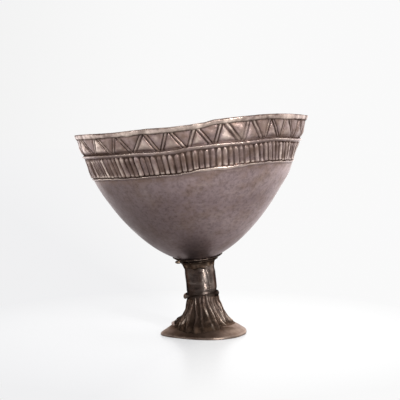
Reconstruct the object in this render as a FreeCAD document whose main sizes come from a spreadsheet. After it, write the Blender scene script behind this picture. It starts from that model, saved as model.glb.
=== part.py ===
import FreeCAD, Part
import math
import os
import Sketcher

# A footed bowl of raised silver sheet, old, dented and leaning. Millimetres, +Z up.
# The origin is on the floor under the middle of the foot, +X is the side where the rim is highest,
# and -Y is the side that a viewer faces.

# Driving sizes. Lengths are in millimetres, angles in degrees, and counts are whole numbers.
SIZES = {
    # base plate of the foot
    "foot_margin": 6.55,
    "foot_edge": 1.4,
    "foot_band": 2.0,
    "flange_sheet": 1.0,
    "flange_width": 14.85,
    "flange_slope": 29,
    # seam of solder between the base plate and the hem of the skirt
    "hem_solder": 0.5,
    # fluted skirt
    "skirt_sheet": 0.9,
    "skirt_shift": 2.6,
    "skirt_lean": 7,
    "skirt_height": 25.5,
    "neck_radius": 11.5,
    "waist_radius": 17.6,
    "waist_height": 10.7,
    "hem_radius": 24.8,
    "fold_count": 22,
    "neck_fold_depth": 0.6,
    "hem_fold_depth": 2.6,
    # stem rolled from sheet with a lapped seam
    "stem_radius": 11.1,
    "stem_sheet": 1.0,
    "stem_length": 27,
    "stem_lean": 6.2,
    "stem_shift": 0.6,
    "lap_step": 0.6,
    "lap_angle": 34,
    "lap_turn": 62,
    # collar ring over the joint of stem and skirt
    "collar_height": 3.8,
    "collar_sheet": 1.4,
    # fillet of solder at the top of the stem, and a drip of it under the seat
    "stem_solder_height": 5,
    "stem_solder_reach": 3,
    "drip_width": 1.5,
    "drip_height": 1.0,
    "drip_turn": 213,
    # dished seat under the bowl, and the solder that holds the bowl on it
    "seat_margin": 4.1,
    "seat_flat_radius": 12,
    "seat_lift": 0.45,
    "seat_sheet": 0.9,
    "seat_solder_radius": 10.5,
    "seat_gap": 0.8,
    # bowl
    "bowl_shift": 1.7,
    "bowl_lean": 3,
    "bowl_sheet": 1.1,
    "base_cut": 2.6,
    "wall_height": 93.2,
    "wall_radius": 81.05,
    "border_height": 64.8,
    "border_proud": 0.5,
    "border_width": 1.6,
    "frieze_depth": 0.6,
    "tongue_height": 12.5,
    "cordon_width": 3.6,
    "cordon_proud": 1.1,
    "zigzag_height": 11.4,
    "zigzag_flare": 1.0,
    # relief of the two friezes
    "tongue_count": 120,
    "tongue_rise": 1.0,
    "tongue_start": 212.9,
    "tongue_twist": 2.2,
    "vee_count": 27,
    "vee_arm_width": 2.2,
    "vee_arm_rise": 0.3,
    "vee_groove_depth": 0.6,
    "vee_panel_rise": 0.4,
    "gap_panel_rise": 0.8,
    "rim_shift": 1.5,
    # folded strip along the rim
    "strip_width": 3.2,
    "strip_sheet": 0.8,
    "strip_leg": 2.6,
    "strip_swell": 0.6,
    # waves of the bent rim, one for each number of waves in a turn
    "rim_rise": 3.9,
    "rim_saddle_rise": 0.5,
    "rim_third_rise": 1.1,
    "rim_fourth_rise": 0.5,
    # film of solder between faces that are soldered together
    "film": 0.1,
}

document = FreeCAD.newDocument("footed_bowl")
sheet = document.addObject("Spreadsheet::Sheet", "sizes")
for row, (alias, number) in enumerate(SIZES.items(), start=1):
    sheet.set(f"A{row}", alias)
    sheet.set(f"B{row}", str(number))
    sheet.setAlias(f"B{row}", alias)
document.recompute()


class Sizes:
    """Reads a driving size from the sheet by its alias."""

    def __getattr__(self, alias):
        return float(sheet.get(alias))


size = Sizes()
pieces = []

FULL_TURN = 360
SKIN_DEGREE = 3
NEARLY_SHARE = 0.999

# How finely the freely bent skins are drawn
RELIEF_POINTS_PER_TONGUE = 4
FOLD_POINT_COUNT = 8

# Degrees of the curves, which are the powers that their shares are raised to
WALL_DEGREE = 0.533
WALL_CLOSING_DEGREE = 3
WAVE_FADE_DEGREE = 2
RIM_SHIFT_DEGREE = 4
SKIRT_FLARE_DEGREE = 1.25
GROOVE_DEGREE = 2

# Shares of the heights, widths and turns that the functions below name
WALL_CLOSING_SHARE = 0.104
BODY_STATION_SHARES = [0, 0.02, 0.06, 0.12, 0.2, 0.3, 0.42, 0.55, 0.7, 0.85, 1]
RIDGE_SHARES = [0, 0.25, 0.75, 1]
TONGUE_RISE_SHARES = [(0.05, 1), (0.5, 1), (0.9, 0.9)]
ZIGZAG_SHARES = [0.08, 0.29, 0.5, 0.71, 0.92]
VEE_STEP_SHARES = [0, 0.5, 0.665, 0.83]
GROOVE_REACH_SHARE = 1.6
SWELL_REACH_SHARE = 1.5
STRIP_SWELL_SHARE = 0.33
SKIRT_SHARES = [0, 0.15, 0.32, 0.5, 0.68, 0.85, 1]
HEM_SHARES = [(0.3, 0.45), (0.64, 0.8)]
COLLAR_ROUND_SHARE = 0.9
DRIP_REACH_SHARE = 0.5
SOLDER_WAIST_REACH_SHARE = 0.25
SOLDER_WAIST_DEPTH_SHARE = 0.4
WAVE_TURN_SHARES = {"rim_rise": 0, "rim_saddle_rise": 0.36, "rim_third_rise": 0.48, "rim_fourth_rise": 0.46}

# The vees of the zigzag that a viewer sees, in degrees round the rim: top and foot of the left arm,
# then foot and top of the right arm
FRONT_VEES = [
    (202.0, 213.0, 214.8, 216.8),
    (220.1, 227.0, 229.2, 231.7),
    (233.8, 240.6, 242.4, 247.3),
    (248.8, 254.8, 256.8, 259.2),
    (261.5, 267.8, 270.0, 272.1),
    (273.8, 280.2, 282.6, 284.4),
    (287.1, 294.6, 296.8, 298.0),
    (300.9, 306.9, 309.2, 310.6),
    (312.2, 318.2, 320.2, 321.1),
    (325.0, 331.8, 333.8, 336.0),
]


def keep(piece, label):
    """Names a finished sub-part."""
    piece.Label = label
    pieces.append(piece)
    return piece


def point(across, back, up):
    return FreeCAD.Vector(across, back, up)


def leaning(origin, degrees):
    """A placement at origin whose up axis leans to the left by this angle."""
    return FreeCAD.Placement(origin, FreeCAD.Rotation(point(0, 1, 0), -degrees))


def turned_about_up(degrees):
    return FreeCAD.Placement(point(0, 0, 0), FreeCAD.Rotation(point(0, 0, 1), degrees))


# Sub-parts that are drawn as sketches and turned or padded


def plane(body, role):
    """The body's own origin plane with this role."""
    for feature in body.Origin.OriginFeatures:
        if feature.Role == role:
            return feature
    raise ValueError(role)


def new_sketch(body, name, role):
    sketch = body.newObject("Sketcher::SketchObject", name)
    sketch.AttachmentSupport = (plane(body, role), [""])
    sketch.MapMode = "FlatFace"
    return sketch


def bind(sketch, kind, vertex, start, label, value):
    """Binds one coordinate of a vertex to an expression, or puts the vertex on the axis where it is zero."""
    axis = -2 if kind == "DistanceX" else -1
    if value == "0":
        sketch.addConstraint(Sketcher.Constraint("PointOnObject", vertex, 1, axis))
        return
    number = sketch.addConstraint(Sketcher.Constraint(kind, -1, 1, vertex, 1, start))
    sketch.renameConstraint(number, label)
    sketch.setExpression(f"Constraints.{label}", value)


def evaluate(expression):
    """The number that an expression over the sheet gives."""
    return float(sheet.evalExpression(expression))


def draw_outline(sketch, corners):
    """Draws a closed outline of straight edges. corners maps a name to its expressions, across and up."""
    ends = [point(evaluate(across), evaluate(up), 0) for across, up in corners.values()]
    count = len(ends)
    for index in range(count):
        sketch.addGeometry(Part.LineSegment(ends[index], ends[(index + 1) % count]), False)
    for index in range(count):
        following = (index + 1) % count
        sketch.addConstraint(Sketcher.Constraint("Coincident", index, 2, following, 1))
    for index, (name, (across, up)) in enumerate(corners.items()):
        bind(sketch, "DistanceX", index, ends[index].x, f"{name}_across", across)
        bind(sketch, "DistanceY", index, ends[index].y, f"{name}_up", up)


def turned(name, corners, placement=None):
    """A body turned about its own up axis from an outline of named corners."""
    body = document.addObject("PartDesign::Body", name)
    sketch = new_sketch(body, f"{name}_profile", "XZ_Plane")
    draw_outline(sketch, corners)
    feature = body.newObject("PartDesign::Revolution", f"{name}_turned")
    feature.Profile = sketch
    feature.ReferenceAxis = (sketch, ["V_Axis"])
    feature.Angle = FULL_TURN
    if placement:
        body.Placement = placement
    return body


# Sub-parts whose skins bend too freely for a sketch


def turns(count):
    """Angles evenly spaced round a full turn."""
    return [2 * math.pi * index / count for index in range(count)]


def ring_skin(rings, smooth):
    """A face through control rings, closed round the axis, and rounded or straight from ring to ring."""
    count = len(rings[0])
    degree = min(SKIN_DEGREE, len(rings) - 1) if smooth else 1
    spans = len(rings) - degree
    along_mults = [degree + 1] + [1] * (spans - 1) + [degree + 1]
    surface = Part.BSplineSurface()
    surface.buildFromPolesMultsKnots(
        rings,
        along_mults,
        [1] * (count + 1),
        list(range(spans + 1)),
        list(range(count + 1)),
        False,
        True,
        degree,
        SKIN_DEGREE,
    )
    return surface.toShape()


def flat_cap(ring):
    """A flat face inside a control ring."""
    count = len(ring)
    curve = Part.BSplineCurve()
    curve.buildFromPolesMultsKnots(ring, [1] * (count + 1), list(range(count + 1)), True, SKIN_DEGREE)
    return Part.Face(Part.Wire(curve.toShape()))


def solid_inside(faces):
    """The solid that the faces enclose."""
    joined = Part.makeCompound(faces)
    joined.sewShape()
    solid = Part.makeSolid(joined.Shells[0])
    if solid.Volume < 0:
        solid.reverse()
    return solid


def primitive(kind, name, **bindings):
    """A simple solid whose properties are bound to expressions over the sheet."""
    solid = document.addObject(kind, name)
    for property_name, value in bindings.items():
        solid.setExpression(property_name, value)
    return solid


def combined(kind, name, base, tool):
    """A boolean of two solids of the document."""
    result = document.addObject(kind, name)
    result.Base = base
    result.Tool = tool
    return result


def shaped(name, shape, placement=None):
    feature = document.addObject("Part::Feature", name)
    feature.Shape = shape
    if placement:
        feature.Placement = placement
    return feature


# Foot: a conical base plate that stands on its thickened edge


def foot_radius():
    """The base plate reaches past the hem of the skirt by its margin."""
    return "(sizes.hem_radius + sizes.foot_margin)"


def foot_flange():
    rise = "sizes.foot_edge + sizes.flange_width * tan(sizes.flange_slope)"
    drop = "sizes.flange_sheet / cos(sizes.flange_slope)"
    hole = f"{foot_radius()} - sizes.flange_width"
    band = f"{foot_radius()} - sizes.foot_band"
    return turned(
        "foot_flange",
        {
            "edge_low": (foot_radius(), "0"),
            "edge_high": (foot_radius(), "sizes.foot_edge"),
            "hole_high": (hole, rise),
            "hole_low": (hole, f"{rise} - {drop}"),
            "band_high": (band, f"sizes.foot_edge + sizes.foot_band * tan(sizes.flange_slope) - {drop}"),
            "band_low": (band, "0"),
        },
    )


def flange_top(across, back):
    """Height of the base plate's upper face at a place on the floor."""
    inward = size.hem_radius + size.foot_margin - math.hypot(across, back)
    return size.foot_edge + inward * math.tan(math.radians(size.flange_slope))


# Skirt: a sheet gathered into folds, from a neck under the stem to a hem on the base plate


def skirt_centre(up):
    return size.skirt_shift - up * math.tan(math.radians(size.skirt_lean))


def fold_angles():
    return turns(int(size.fold_count) * FOLD_POINT_COUNT)


def fold_radius(crest, depth, angle):
    """Radius of the gathered sheet: broad crests and narrow grooves."""
    wave = (1 - math.cos(int(size.fold_count) * angle)) / 2
    return crest - depth * wave**GROOVE_DEGREE


def skirt_ring(crest, depth, up):
    """A ring of the skirt. up gives the height from a place on the floor."""
    ring = []
    for angle in fold_angles():
        radius = fold_radius(crest, depth, angle)
        level = up(skirt_centre(0) + radius * math.cos(angle), radius * math.sin(angle))
        across = skirt_centre(level) + radius * math.cos(angle)
        back = radius * math.sin(angle)
        ring.append(point(across, back, up(across, back)))
    return ring


def neck_plane(across, back):
    """Height of the slanted joint between the skirt and the stem."""
    start = stem_foot()
    return start.z - size.film + (across - start.x) * math.tan(math.radians(size.stem_lean))


def skirt_side(inward, hem_gap):
    """Rings of one side of the skirt from its neck to its hem, moved inward by part of the sheet."""
    rings = []
    drop = size.skirt_height - size.waist_height
    for share in SKIRT_SHARES:
        crest = size.neck_radius + (size.waist_radius - size.neck_radius) * share**SKIRT_FLARE_DEGREE - inward
        depth = size.neck_fold_depth + (size.hem_fold_depth - size.neck_fold_depth) * share
        level = size.skirt_height - drop * share
        if share == 0:
            rings.append(skirt_ring(crest, depth, neck_plane))
        else:
            rings.append(skirt_ring(crest, depth, lambda across, back, level=level: level))
    for out_share, down_share in HEM_SHARES + [(1, 1)]:
        crest = size.waist_radius + (size.hem_radius - size.waist_radius) * out_share - inward

        def level_here(across, back, down_share=down_share):
            low = flange_top(across, back) + size.hem_solder + hem_gap
            high = size.waist_height - inward * out_share
            return high + (low - high) * down_share

        rings.append(skirt_ring(crest, size.hem_fold_depth, level_here))
    return rings


def foot_skirt():
    outer = skirt_side(0, size.skirt_sheet)
    inner = skirt_side(size.skirt_sheet, 0)
    faces = [
        ring_skin(outer, True),
        ring_skin([outer[-1], inner[-1]], False),
        ring_skin(inner, True),
        ring_skin([inner[0], outer[0]], False),
    ]
    return shaped("foot_skirt", solid_inside(faces))


def seam_height():
    """Height of the middle of the hem above the floor."""
    return flange_top(size.hem_radius, 0)


def foot_solder():
    """The seam of solder under the hem, wide enough to reach under its crests and its grooves."""
    slope = "tan(sizes.flange_slope)"
    lift = {"low": "sizes.film", "high": "(sizes.hem_solder - sizes.film)"}
    cones = {}
    for name, height in lift.items():
        spread = f"{foot_radius()} + (sizes.foot_edge + {height}) / {slope}"
        rise = f"({spread}) * {slope}"
        cones[name] = primitive("Part::Cone", f"seam_cone_{name}", Radius1=spread, Height=rise)
        cones[name].Radius2 = 0
    reach = {
        "outside": "sizes.hem_radius + sizes.hem_solder",
        "inside": "sizes.hem_radius - sizes.hem_fold_depth - sizes.skirt_sheet - sizes.hem_solder",
    }
    walls = {}
    for name, radius in reach.items():
        walls[name] = primitive("Part::Cylinder", f"seam_{name}", Radius=radius, Height="sizes.skirt_height")
        walls[name].Placement.Base = point(skirt_centre(seam_height()), 0, 0)
    under = combined("Part::Common", "seam_under_hem", cones["high"], walls["outside"])
    ring = combined("Part::Cut", "seam_ring", under, walls["inside"])
    return combined("Part::Cut", "foot_solder", ring, cones["low"])


# Stem: a tube rolled from sheet, with a lapped seam, a collar ring at its foot and solder at its top


def stem_foot():
    """Middle of the stem's lower end."""
    across = skirt_centre(size.skirt_height) - size.stem_shift
    return point(across, 0, size.skirt_height)


def stem_place(up):
    """The leaning frame of the stem, moved up along it."""
    start = leaning(stem_foot(), size.stem_lean)
    return leaning(start.multVec(point(0, 0, up)), size.stem_lean)


def stem_tube():
    body = document.addObject("PartDesign::Body", "stem_tube")
    section = new_sketch(body, "stem_section", "XY_Plane")
    for index, radius in enumerate(("sizes.stem_radius", "sizes.stem_radius - sizes.stem_sheet")):
        section.addGeometry(Part.Circle(point(0, 0, 0), point(0, 0, 1), evaluate(radius)), False)
        section.addConstraint(Sketcher.Constraint("Coincident", index, 3, -1, 1))
        number = section.addConstraint(Sketcher.Constraint("Radius", index, evaluate(radius)))
        section.setExpression(f"Constraints[{number}]", radius)
    tube = body.newObject("PartDesign::Pad", "stem_wall")
    tube.Profile = section
    tube.setExpression("Length", "sizes.stem_length")
    lap = new_sketch(body, "lap_section", "XZ_Plane")
    low = "sizes.collar_height + sizes.film"
    high = "sizes.stem_length - sizes.stem_solder_height - sizes.film"
    inside = "sizes.stem_radius - sizes.stem_sheet / 2"
    outside = "sizes.stem_radius + sizes.lap_step"
    draw_outline(
        lap,
        {
            "inside_low": (inside, low),
            "outside_low": (outside, low),
            "outside_high": (outside, high),
            "inside_high": (inside, high),
        },
    )
    seam = body.newObject("PartDesign::Revolution", "lapped_edge")
    seam.Profile = lap
    seam.ReferenceAxis = (lap, ["V_Axis"])
    seam.setExpression("Angle", "sizes.lap_angle")
    body.Placement = stem_place(0).multiply(turned_about_up(-size.lap_turn))
    return body


def collar_ring():
    bore = "sizes.stem_radius + sizes.film"
    out = "sizes.stem_radius + sizes.film + sizes.collar_sheet"
    body = turned(
        "collar_ring",
        {
            "bore_low": (bore, "0"),
            "out_low": (out, "0"),
            "out_high": (out, "sizes.collar_height"),
            "bore_high": (bore, "sizes.collar_height"),
        },
        stem_place(0),
    )
    edges = [f"Edge{number}" for number in outer_rims(body)]
    ring = body.Tip
    rounding = body.newObject("PartDesign::Fillet", "collar_rounding")
    rounding.Base = (ring, edges)
    rounding.setExpression("Radius", f"sizes.collar_sheet * {COLLAR_ROUND_SHARE}")
    return body


def outer_rims(body):
    """Numbers of the circular edges of a turned body that lie furthest out."""
    document.recompute()
    edges = body.Shape.Edges
    circles = [number for number, edge in enumerate(edges, start=1) if edge.isClosed()]
    widest = max(edges[number - 1].Length for number in circles)
    return [number for number in circles if edges[number - 1].Length > widest * NEARLY_SHARE]


def stem_solder():
    bore = "sizes.stem_radius + sizes.film"
    top = "sizes.stem_length"
    waist_reach = f"sizes.stem_solder_reach * {SOLDER_WAIST_REACH_SHARE}"
    waist_depth = f"sizes.stem_solder_height * {SOLDER_WAIST_DEPTH_SHARE}"
    return turned(
        "stem_solder",
        {
            "foot": (bore, f"{top} - sizes.stem_solder_height"),
            "waist": (f"{bore} + {waist_reach}", f"{top} - {waist_depth}"),
            "edge": (f"{bore} + sizes.stem_solder_reach", top),
            "bore": (bore, top),
        },
        stem_place(0),
    )


# Seat: a dished plate soldered across the top of the stem, and what holds the bowl on it


def seat_radius():
    """The seat reaches past the solder at the top of the stem by its margin."""
    return "(sizes.stem_radius + sizes.film + sizes.stem_solder_reach + sizes.seat_margin)"


def seat_rise():
    """How far the seat's margin turns up: with the wall above it, apart from a small lift."""
    reach = f"({seat_radius()} * {1 - WALL_CLOSING_SHARE} / sizes.wall_radius)"
    wall = f"(sizes.wall_height + sizes.base_cut) * pow({reach}; 1 / {WALL_DEGREE}) - sizes.base_cut"
    return f"({wall} + sizes.seat_lift)"


def seat_disc():
    rise = seat_rise()
    return turned(
        "seat_disc",
        {
            "middle_low": ("0", "0"),
            "flat_low": ("sizes.seat_flat_radius", "0"),
            "rim_low": (seat_radius(), rise),
            "rim_high": (seat_radius(), f"{rise} + sizes.seat_sheet"),
            "flat_high": ("sizes.seat_flat_radius", "sizes.seat_sheet"),
            "middle_high": ("0", "sizes.seat_sheet"),
        },
        stem_place(size.stem_length + size.film),
    )


def solder_drip():
    """A drip of solder that hangs from the sloping margin of the seat."""
    drip = primitive(
        "Part::Ellipsoid",
        "solder_drip",
        Radius1="sizes.drip_height",
        Radius2=f"sizes.seat_margin * {DRIP_REACH_SHARE}",
        Radius3="sizes.drip_width",
    )
    edge = evaluate(seat_radius())
    slope = math.atan2(evaluate(seat_rise()), edge - size.seat_flat_radius)
    out = edge - size.seat_margin * DRIP_REACH_SHARE
    down = size.drip_height + size.film
    up = (out - size.seat_flat_radius) * math.tan(slope)
    middle = point(out + down * math.sin(slope), 0, up - down * math.cos(slope))
    across = FreeCAD.Placement(middle, FreeCAD.Rotation(point(0, 1, 0), -math.degrees(slope)))
    frame = stem_place(size.stem_length + size.film)
    drip.Placement = frame.multiply(turned_about_up(size.drip_turn)).multiply(across)
    return drip


def bowl_place():
    """The leaning frame of the bowl, with its origin in the middle of the flat under the bowl."""
    seat_top = stem_place(size.stem_length + size.film + size.seat_sheet).Base
    return leaning(seat_top + point(-size.bowl_shift, 0, size.seat_gap), size.bowl_lean)


def seat_solder():
    """The wedge of solder between the seat and the flat under the bowl."""
    low = stem_place(size.stem_length + size.film + size.seat_sheet + size.film)
    base = bowl_place()
    along = low.Base.x - base.Base.x
    tilt = math.radians(size.bowl_lean)
    high = leaning(base.Base + point(along, 0, along * math.tan(tilt) - size.film), size.bowl_lean)
    circles = []
    for frame in (low, high):
        up = frame.Rotation.multVec(point(0, 0, 1))
        circles.append(Part.Wire(Part.makeCircle(size.seat_solder_radius, frame.Base, up)))
    return shaped("seat_solder", Part.makeLoft(circles, True, True))


# Bowl: one sheet raised into a deep round form, bent at the rim, with two worked friezes


def cordon_level():
    """Height of the middle of the cordon above the flat under the bowl."""
    return size.border_height + size.tongue_height + size.cordon_width / 2


def strip_foot_level():
    """Height of the strip's lower edge, at the top of the zigzag frieze."""
    return cordon_level() + size.cordon_width / 2 + size.zigzag_height


def strip_top_level():
    """Height of the fold of the strip."""
    return strip_foot_level() + size.strip_width


def wall_radius(up):
    """Outer radius of the plain wall at a height above the flat under the bowl."""
    share = (up + size.base_cut) / (size.wall_height + size.base_cut)
    closing = (1 - WALL_CLOSING_SHARE * share**WALL_CLOSING_DEGREE) / (1 - WALL_CLOSING_SHARE)
    return size.wall_radius * share**WALL_DEGREE * closing


def rim_wave(angle):
    """How far the bent rim and the friezes lie above or below a level ring."""
    total = 0
    for waves, (name, turn) in enumerate(WAVE_TURN_SHARES.items(), start=1):
        total += getattr(size, name) * math.cos(waves * angle - 2 * math.pi * turn)
    return total


def wall_turns(fineness=1):
    """Angles of the points of a ring of the wall. A plain ring has one for each tongue of the frieze."""
    return [math.radians(size.tongue_start) + angle for angle in turns(int(size.tongue_count) * fineness)]


def wall_points(up, places, inset=0):
    """Points of the wall at a height. places gives an angle and how proud of the plain wall it stands."""
    ring = []
    fade = min(1, up / size.border_height) ** WAVE_FADE_DEGREE
    flare = size.zigzag_flare * max(0, up - cordon_level()) / (strip_top_level() - cordon_level())
    shift = size.rim_shift * (up / size.wall_height) ** RIM_SHIFT_DEGREE
    step = size.wall_height / size.tongue_count
    for angle, proud in places:
        level = up + rim_wave(angle) * fade
        slope = math.atan2(wall_radius(level + step) - wall_radius(level), step)
        radius = wall_radius(level) + proud + flare - inset * math.cos(slope)
        across = shift + radius * math.cos(angle)
        ring.append(point(across, radius * math.sin(angle), level + inset * math.sin(slope)))
    return ring


def wall_ring(up, proud, inset=0):
    """A ring of the wall at a height, standing proud of the plain wall or inset square to it."""
    return wall_points(up, [(angle, proud) for angle in wall_turns()], inset)


def wall_stations():
    """Heights of the control rings of the plain body, closer together near the flat."""
    top = size.border_height - size.border_width
    return [top * share for share in BODY_STATION_SHARES]


def ridge(low, width, start, crest, end):
    """Control rings of a raised ridge that starts, crests and ends this far proud of the wall."""
    return [
        wall_ring(low + width * share, start if share == 0 else end if share == 1 else crest)
        for share in RIDGE_SHARES
    ]


def from_seam(ring):
    """A ring of relief points, started where the seam of a plain ring lies."""
    first = RELIEF_POINTS_PER_TONGUE - 1
    return ring[first:] + ring[:first]


def refined(ring):
    """The same curve as a plain ring's, with as many points as a ring of relief."""
    finer = [spot for spot in ring for _ in range(RELIEF_POINTS_PER_TONGUE)]
    for _ in range(SKIN_DEGREE):
        sums = []
        for index in range(len(finer)):
            total = point(0, 0, 0)
            for back in range(RELIEF_POINTS_PER_TONGUE):
                total += finer[index - back]
            sums.append(total / RELIEF_POINTS_PER_TONGUE)
        finer = sums
    delay = (SKIN_DEGREE + 1) * (RELIEF_POINTS_PER_TONGUE - 1) // 2
    return from_seam(finer[delay:] + finer[:delay])


def tongue_rings(low, high):
    """Rings of the upright tongues between two heights. Their feet lie ahead of their heads round the bowl."""
    rings = []
    for share, rise_share in TONGUE_RISE_SHARES:
        crest = math.radians(size.tongue_start + size.tongue_twist * (1 / 2 - share))
        places = []
        for angle in wall_turns(RELIEF_POINTS_PER_TONGUE):
            wave = (1 + math.cos(int(size.tongue_count) * (angle - crest))) / 2
            places.append((angle, size.tongue_rise * rise_share * wave - size.frieze_depth))
        rings.append(from_seam(wall_points(low + (high - low) * share, places)))
    return rings


def vees():
    """The arms of every vee round the rim, with the ones at the back evenly spaced."""
    rows = list(FRONT_VEES)
    others = int(size.vee_count) - len(rows)
    pitch = (FULL_TURN + FRONT_VEES[0][0] - FRONT_VEES[-1][0]) / (others + 1)
    for index in range(others):
        start = FRONT_VEES[-1][0] + pitch * (index + 1)
        rows.append([start + pitch * share for share in VEE_STEP_SHARES])
    return rows


def arms_of(share):
    """Angle and half the width of every arm of the vees, at a share of the zigzag's height."""
    radius = wall_radius(strip_foot_level())
    arms = []
    for left_top, left_foot, right_foot, right_top in vees():
        for foot, top in ((left_foot, left_top), (right_foot, right_top)):
            run = math.radians(top - foot) * radius
            slant = math.hypot(run, size.zigzag_height) / size.zigzag_height
            arms.append((math.radians(foot + (top - foot) * share), slant * size.vee_arm_width / 2 / radius))
    return arms


def zigzag_relief(arms, angle):
    """Height of the relief at an angle: arms between grooves, and panels that swell between them."""
    gaps = [((angle - middle + math.pi) % (2 * math.pi) - math.pi, half) for middle, half in arms]
    nearest = min(range(len(gaps)), key=lambda index: abs(gaps[index][0]) / gaps[index][1])
    gap, half = gaps[nearest]
    near = abs(gap) / half
    if near < 1:
        return size.vee_arm_rise
    if near < GROOVE_REACH_SHARE:
        return -size.vee_groove_depth
    inside = (nearest % 2 == 0) == (gap > 0)
    swell = size.vee_panel_rise if inside else size.gap_panel_rise
    return swell * min(1, (near - 1) / SWELL_REACH_SHARE)


def zigzag_rings(low, high):
    """Rings of the zigzag frieze between two heights."""
    rings = []
    for share in ZIGZAG_SHARES:
        arms = arms_of(share)
        places = [(angle, zigzag_relief(arms, angle)) for angle in wall_turns(RELIEF_POINTS_PER_TONGUE)]
        rings.append(from_seam(wall_points(low + (high - low) * share, places)))
    return rings


def bowl_shell():
    wall_top = strip_top_level() - size.strip_sheet - size.film
    border_low = size.border_height - size.border_width
    cordon_low = cordon_level() - size.cordon_width / 2
    cordon_high = cordon_level() + size.cordon_width / 2
    body = [wall_ring(up, 0) for up in wall_stations()]
    border = ridge(border_low, size.border_width, 0, size.border_proud, -size.frieze_depth)
    cordon = ridge(cordon_low, size.cordon_width, -size.frieze_depth, size.cordon_proud, 0)
    relief_top = strip_foot_level() - size.strip_sheet / 2
    covered = [wall_ring(up, 0) for up in (relief_top, wall_top)]
    tongues = [refined(border[-1])] + tongue_rings(size.border_height, cordon_low) + [refined(cordon[0])]
    zigzag = [refined(cordon[-1])] + zigzag_rings(cordon_high, relief_top) + [refined(covered[0])]
    inner = [wall_ring(up, -size.bowl_sheet) for up in (wall_top, strip_foot_level())]
    inner += [wall_ring(cordon_high, 0, size.bowl_sheet), wall_ring(cordon_low, 0, size.bowl_sheet)]
    inner += [wall_ring(up, 0, size.bowl_sheet) for up in reversed(wall_stations())]
    floor = [point(spot.x, spot.y, size.bowl_sheet) for spot in inner[-1]]
    inner[-1] = floor
    skins = [ring_skin(rings, True) for rings in (body, border, tongues, cordon, zigzag, covered, inner)]
    faces = skins + [ring_skin([covered[-1], inner[0]], False), flat_cap(body[0]), flat_cap(floor)]
    return shaped("bowl_shell", solid_inside(faces), bowl_place())


def rim_strip():
    """A strip folded over the edge of the sheet, hammered round on the outside."""
    foot = strip_foot_level()
    top = strip_top_level()
    outside = size.film + size.strip_sheet
    inside = size.bowl_sheet + size.film
    leg_end = top - size.strip_leg
    roll = [
        wall_ring(foot, outside),
        wall_ring(foot + (top - foot) * STRIP_SWELL_SHARE, outside + size.strip_swell),
        wall_ring(top - size.strip_sheet / 2, outside + size.strip_swell),
        wall_ring(top + size.strip_sheet / 2, -size.bowl_sheet / 2),
        wall_ring(top - size.strip_sheet / 2, -inside - size.strip_sheet),
        wall_ring(leg_end, -inside - size.strip_sheet),
    ]
    channel_top = top - size.strip_sheet
    channel = [
        wall_ring(leg_end, -inside),
        wall_ring(channel_top, -inside),
        wall_ring(channel_top, size.film),
        wall_ring(foot, size.film),
    ]
    loop = [roll[-1]] + channel + [roll[0]]
    faces = [ring_skin(roll, True)]
    faces += [ring_skin([low, high], False) for low, high in zip(loop, loop[1:])]
    return shaped("rim_strip", solid_inside(faces), bowl_place())


def check(feature):
    """Stops the build when a feature has failed or a shape is not sound."""
    bad = {"Invalid", "Error"} & set(feature.State)
    if bad:
        raise RuntimeError(f"{feature.Label}: {sorted(bad)}")


for make in (
    foot_flange,
    foot_solder,
    foot_skirt,
    stem_tube,
    collar_ring,
    stem_solder,
    seat_disc,
    solder_drip,
    seat_solder,
    bowl_shell,
    rim_strip,
):
    keep(make(), make.__name__)

document.recompute()
for feature in document.Objects:
    check(feature)
for piece in pieces:
    if piece.Shape.isNull() or not piece.Shape.isValid() or not piece.Shape.Solids:
        raise RuntimeError(f"{piece.Label}: its shape is not a sound solid")

os.makedirs("parts", exist_ok=True)
for piece in pieces:
    piece.Shape.exportStep(f"parts/{piece.Label}.step")
    print(piece.Label, round(piece.Shape.Volume, 1))
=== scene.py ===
import math

import bpy
import numpy as np
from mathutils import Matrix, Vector

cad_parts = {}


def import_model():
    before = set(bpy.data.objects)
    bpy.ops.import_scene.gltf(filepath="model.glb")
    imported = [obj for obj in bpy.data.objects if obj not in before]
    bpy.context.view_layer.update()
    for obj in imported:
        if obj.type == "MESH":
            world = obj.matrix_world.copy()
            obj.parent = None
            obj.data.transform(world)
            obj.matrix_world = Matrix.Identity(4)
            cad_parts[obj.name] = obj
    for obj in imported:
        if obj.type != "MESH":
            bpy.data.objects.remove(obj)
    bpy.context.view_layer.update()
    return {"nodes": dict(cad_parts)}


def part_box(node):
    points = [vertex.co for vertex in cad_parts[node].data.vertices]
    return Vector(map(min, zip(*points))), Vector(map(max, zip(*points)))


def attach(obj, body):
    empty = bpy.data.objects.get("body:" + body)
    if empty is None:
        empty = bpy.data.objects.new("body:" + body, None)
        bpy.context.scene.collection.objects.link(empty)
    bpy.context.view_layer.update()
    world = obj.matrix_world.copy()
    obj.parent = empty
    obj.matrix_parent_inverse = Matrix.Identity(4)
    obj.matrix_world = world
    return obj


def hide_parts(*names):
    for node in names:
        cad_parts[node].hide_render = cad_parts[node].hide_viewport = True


# A footed bowl of raised silver sheet, old, dented and leaning. Sizes are in millimetres and become metres
# where a mesh is made. +Z is up, +X is the side where the rim is highest, -Y faces the viewer.

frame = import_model()
METRE = 0.001
TAU = 2 * math.pi

# Foot
HEM_RADIUS = 24.8
FOOT_RADIUS = HEM_RADIUS + 6.55
FOOT_EDGE = 1.4
FOOT_BAND = 2.0
FLANGE_SHEET = 1.0
FLANGE_WIDTH = 14.85
FLANGE_INNER = FOOT_RADIUS - FLANGE_WIDTH
FLANGE_SLOPE = math.radians(29)
SKIRT_SHEET = 0.9
SKIRT_SHIFT = 2.6
SKIRT_LEAN = math.radians(7)
SKIRT_HEIGHT = 25.5
NECK_RADIUS = 11.5

# Stem and seat
STEM_RADIUS = 11.1
STEM_SHEET = 1.0
STEM_LENGTH = 27
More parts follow.
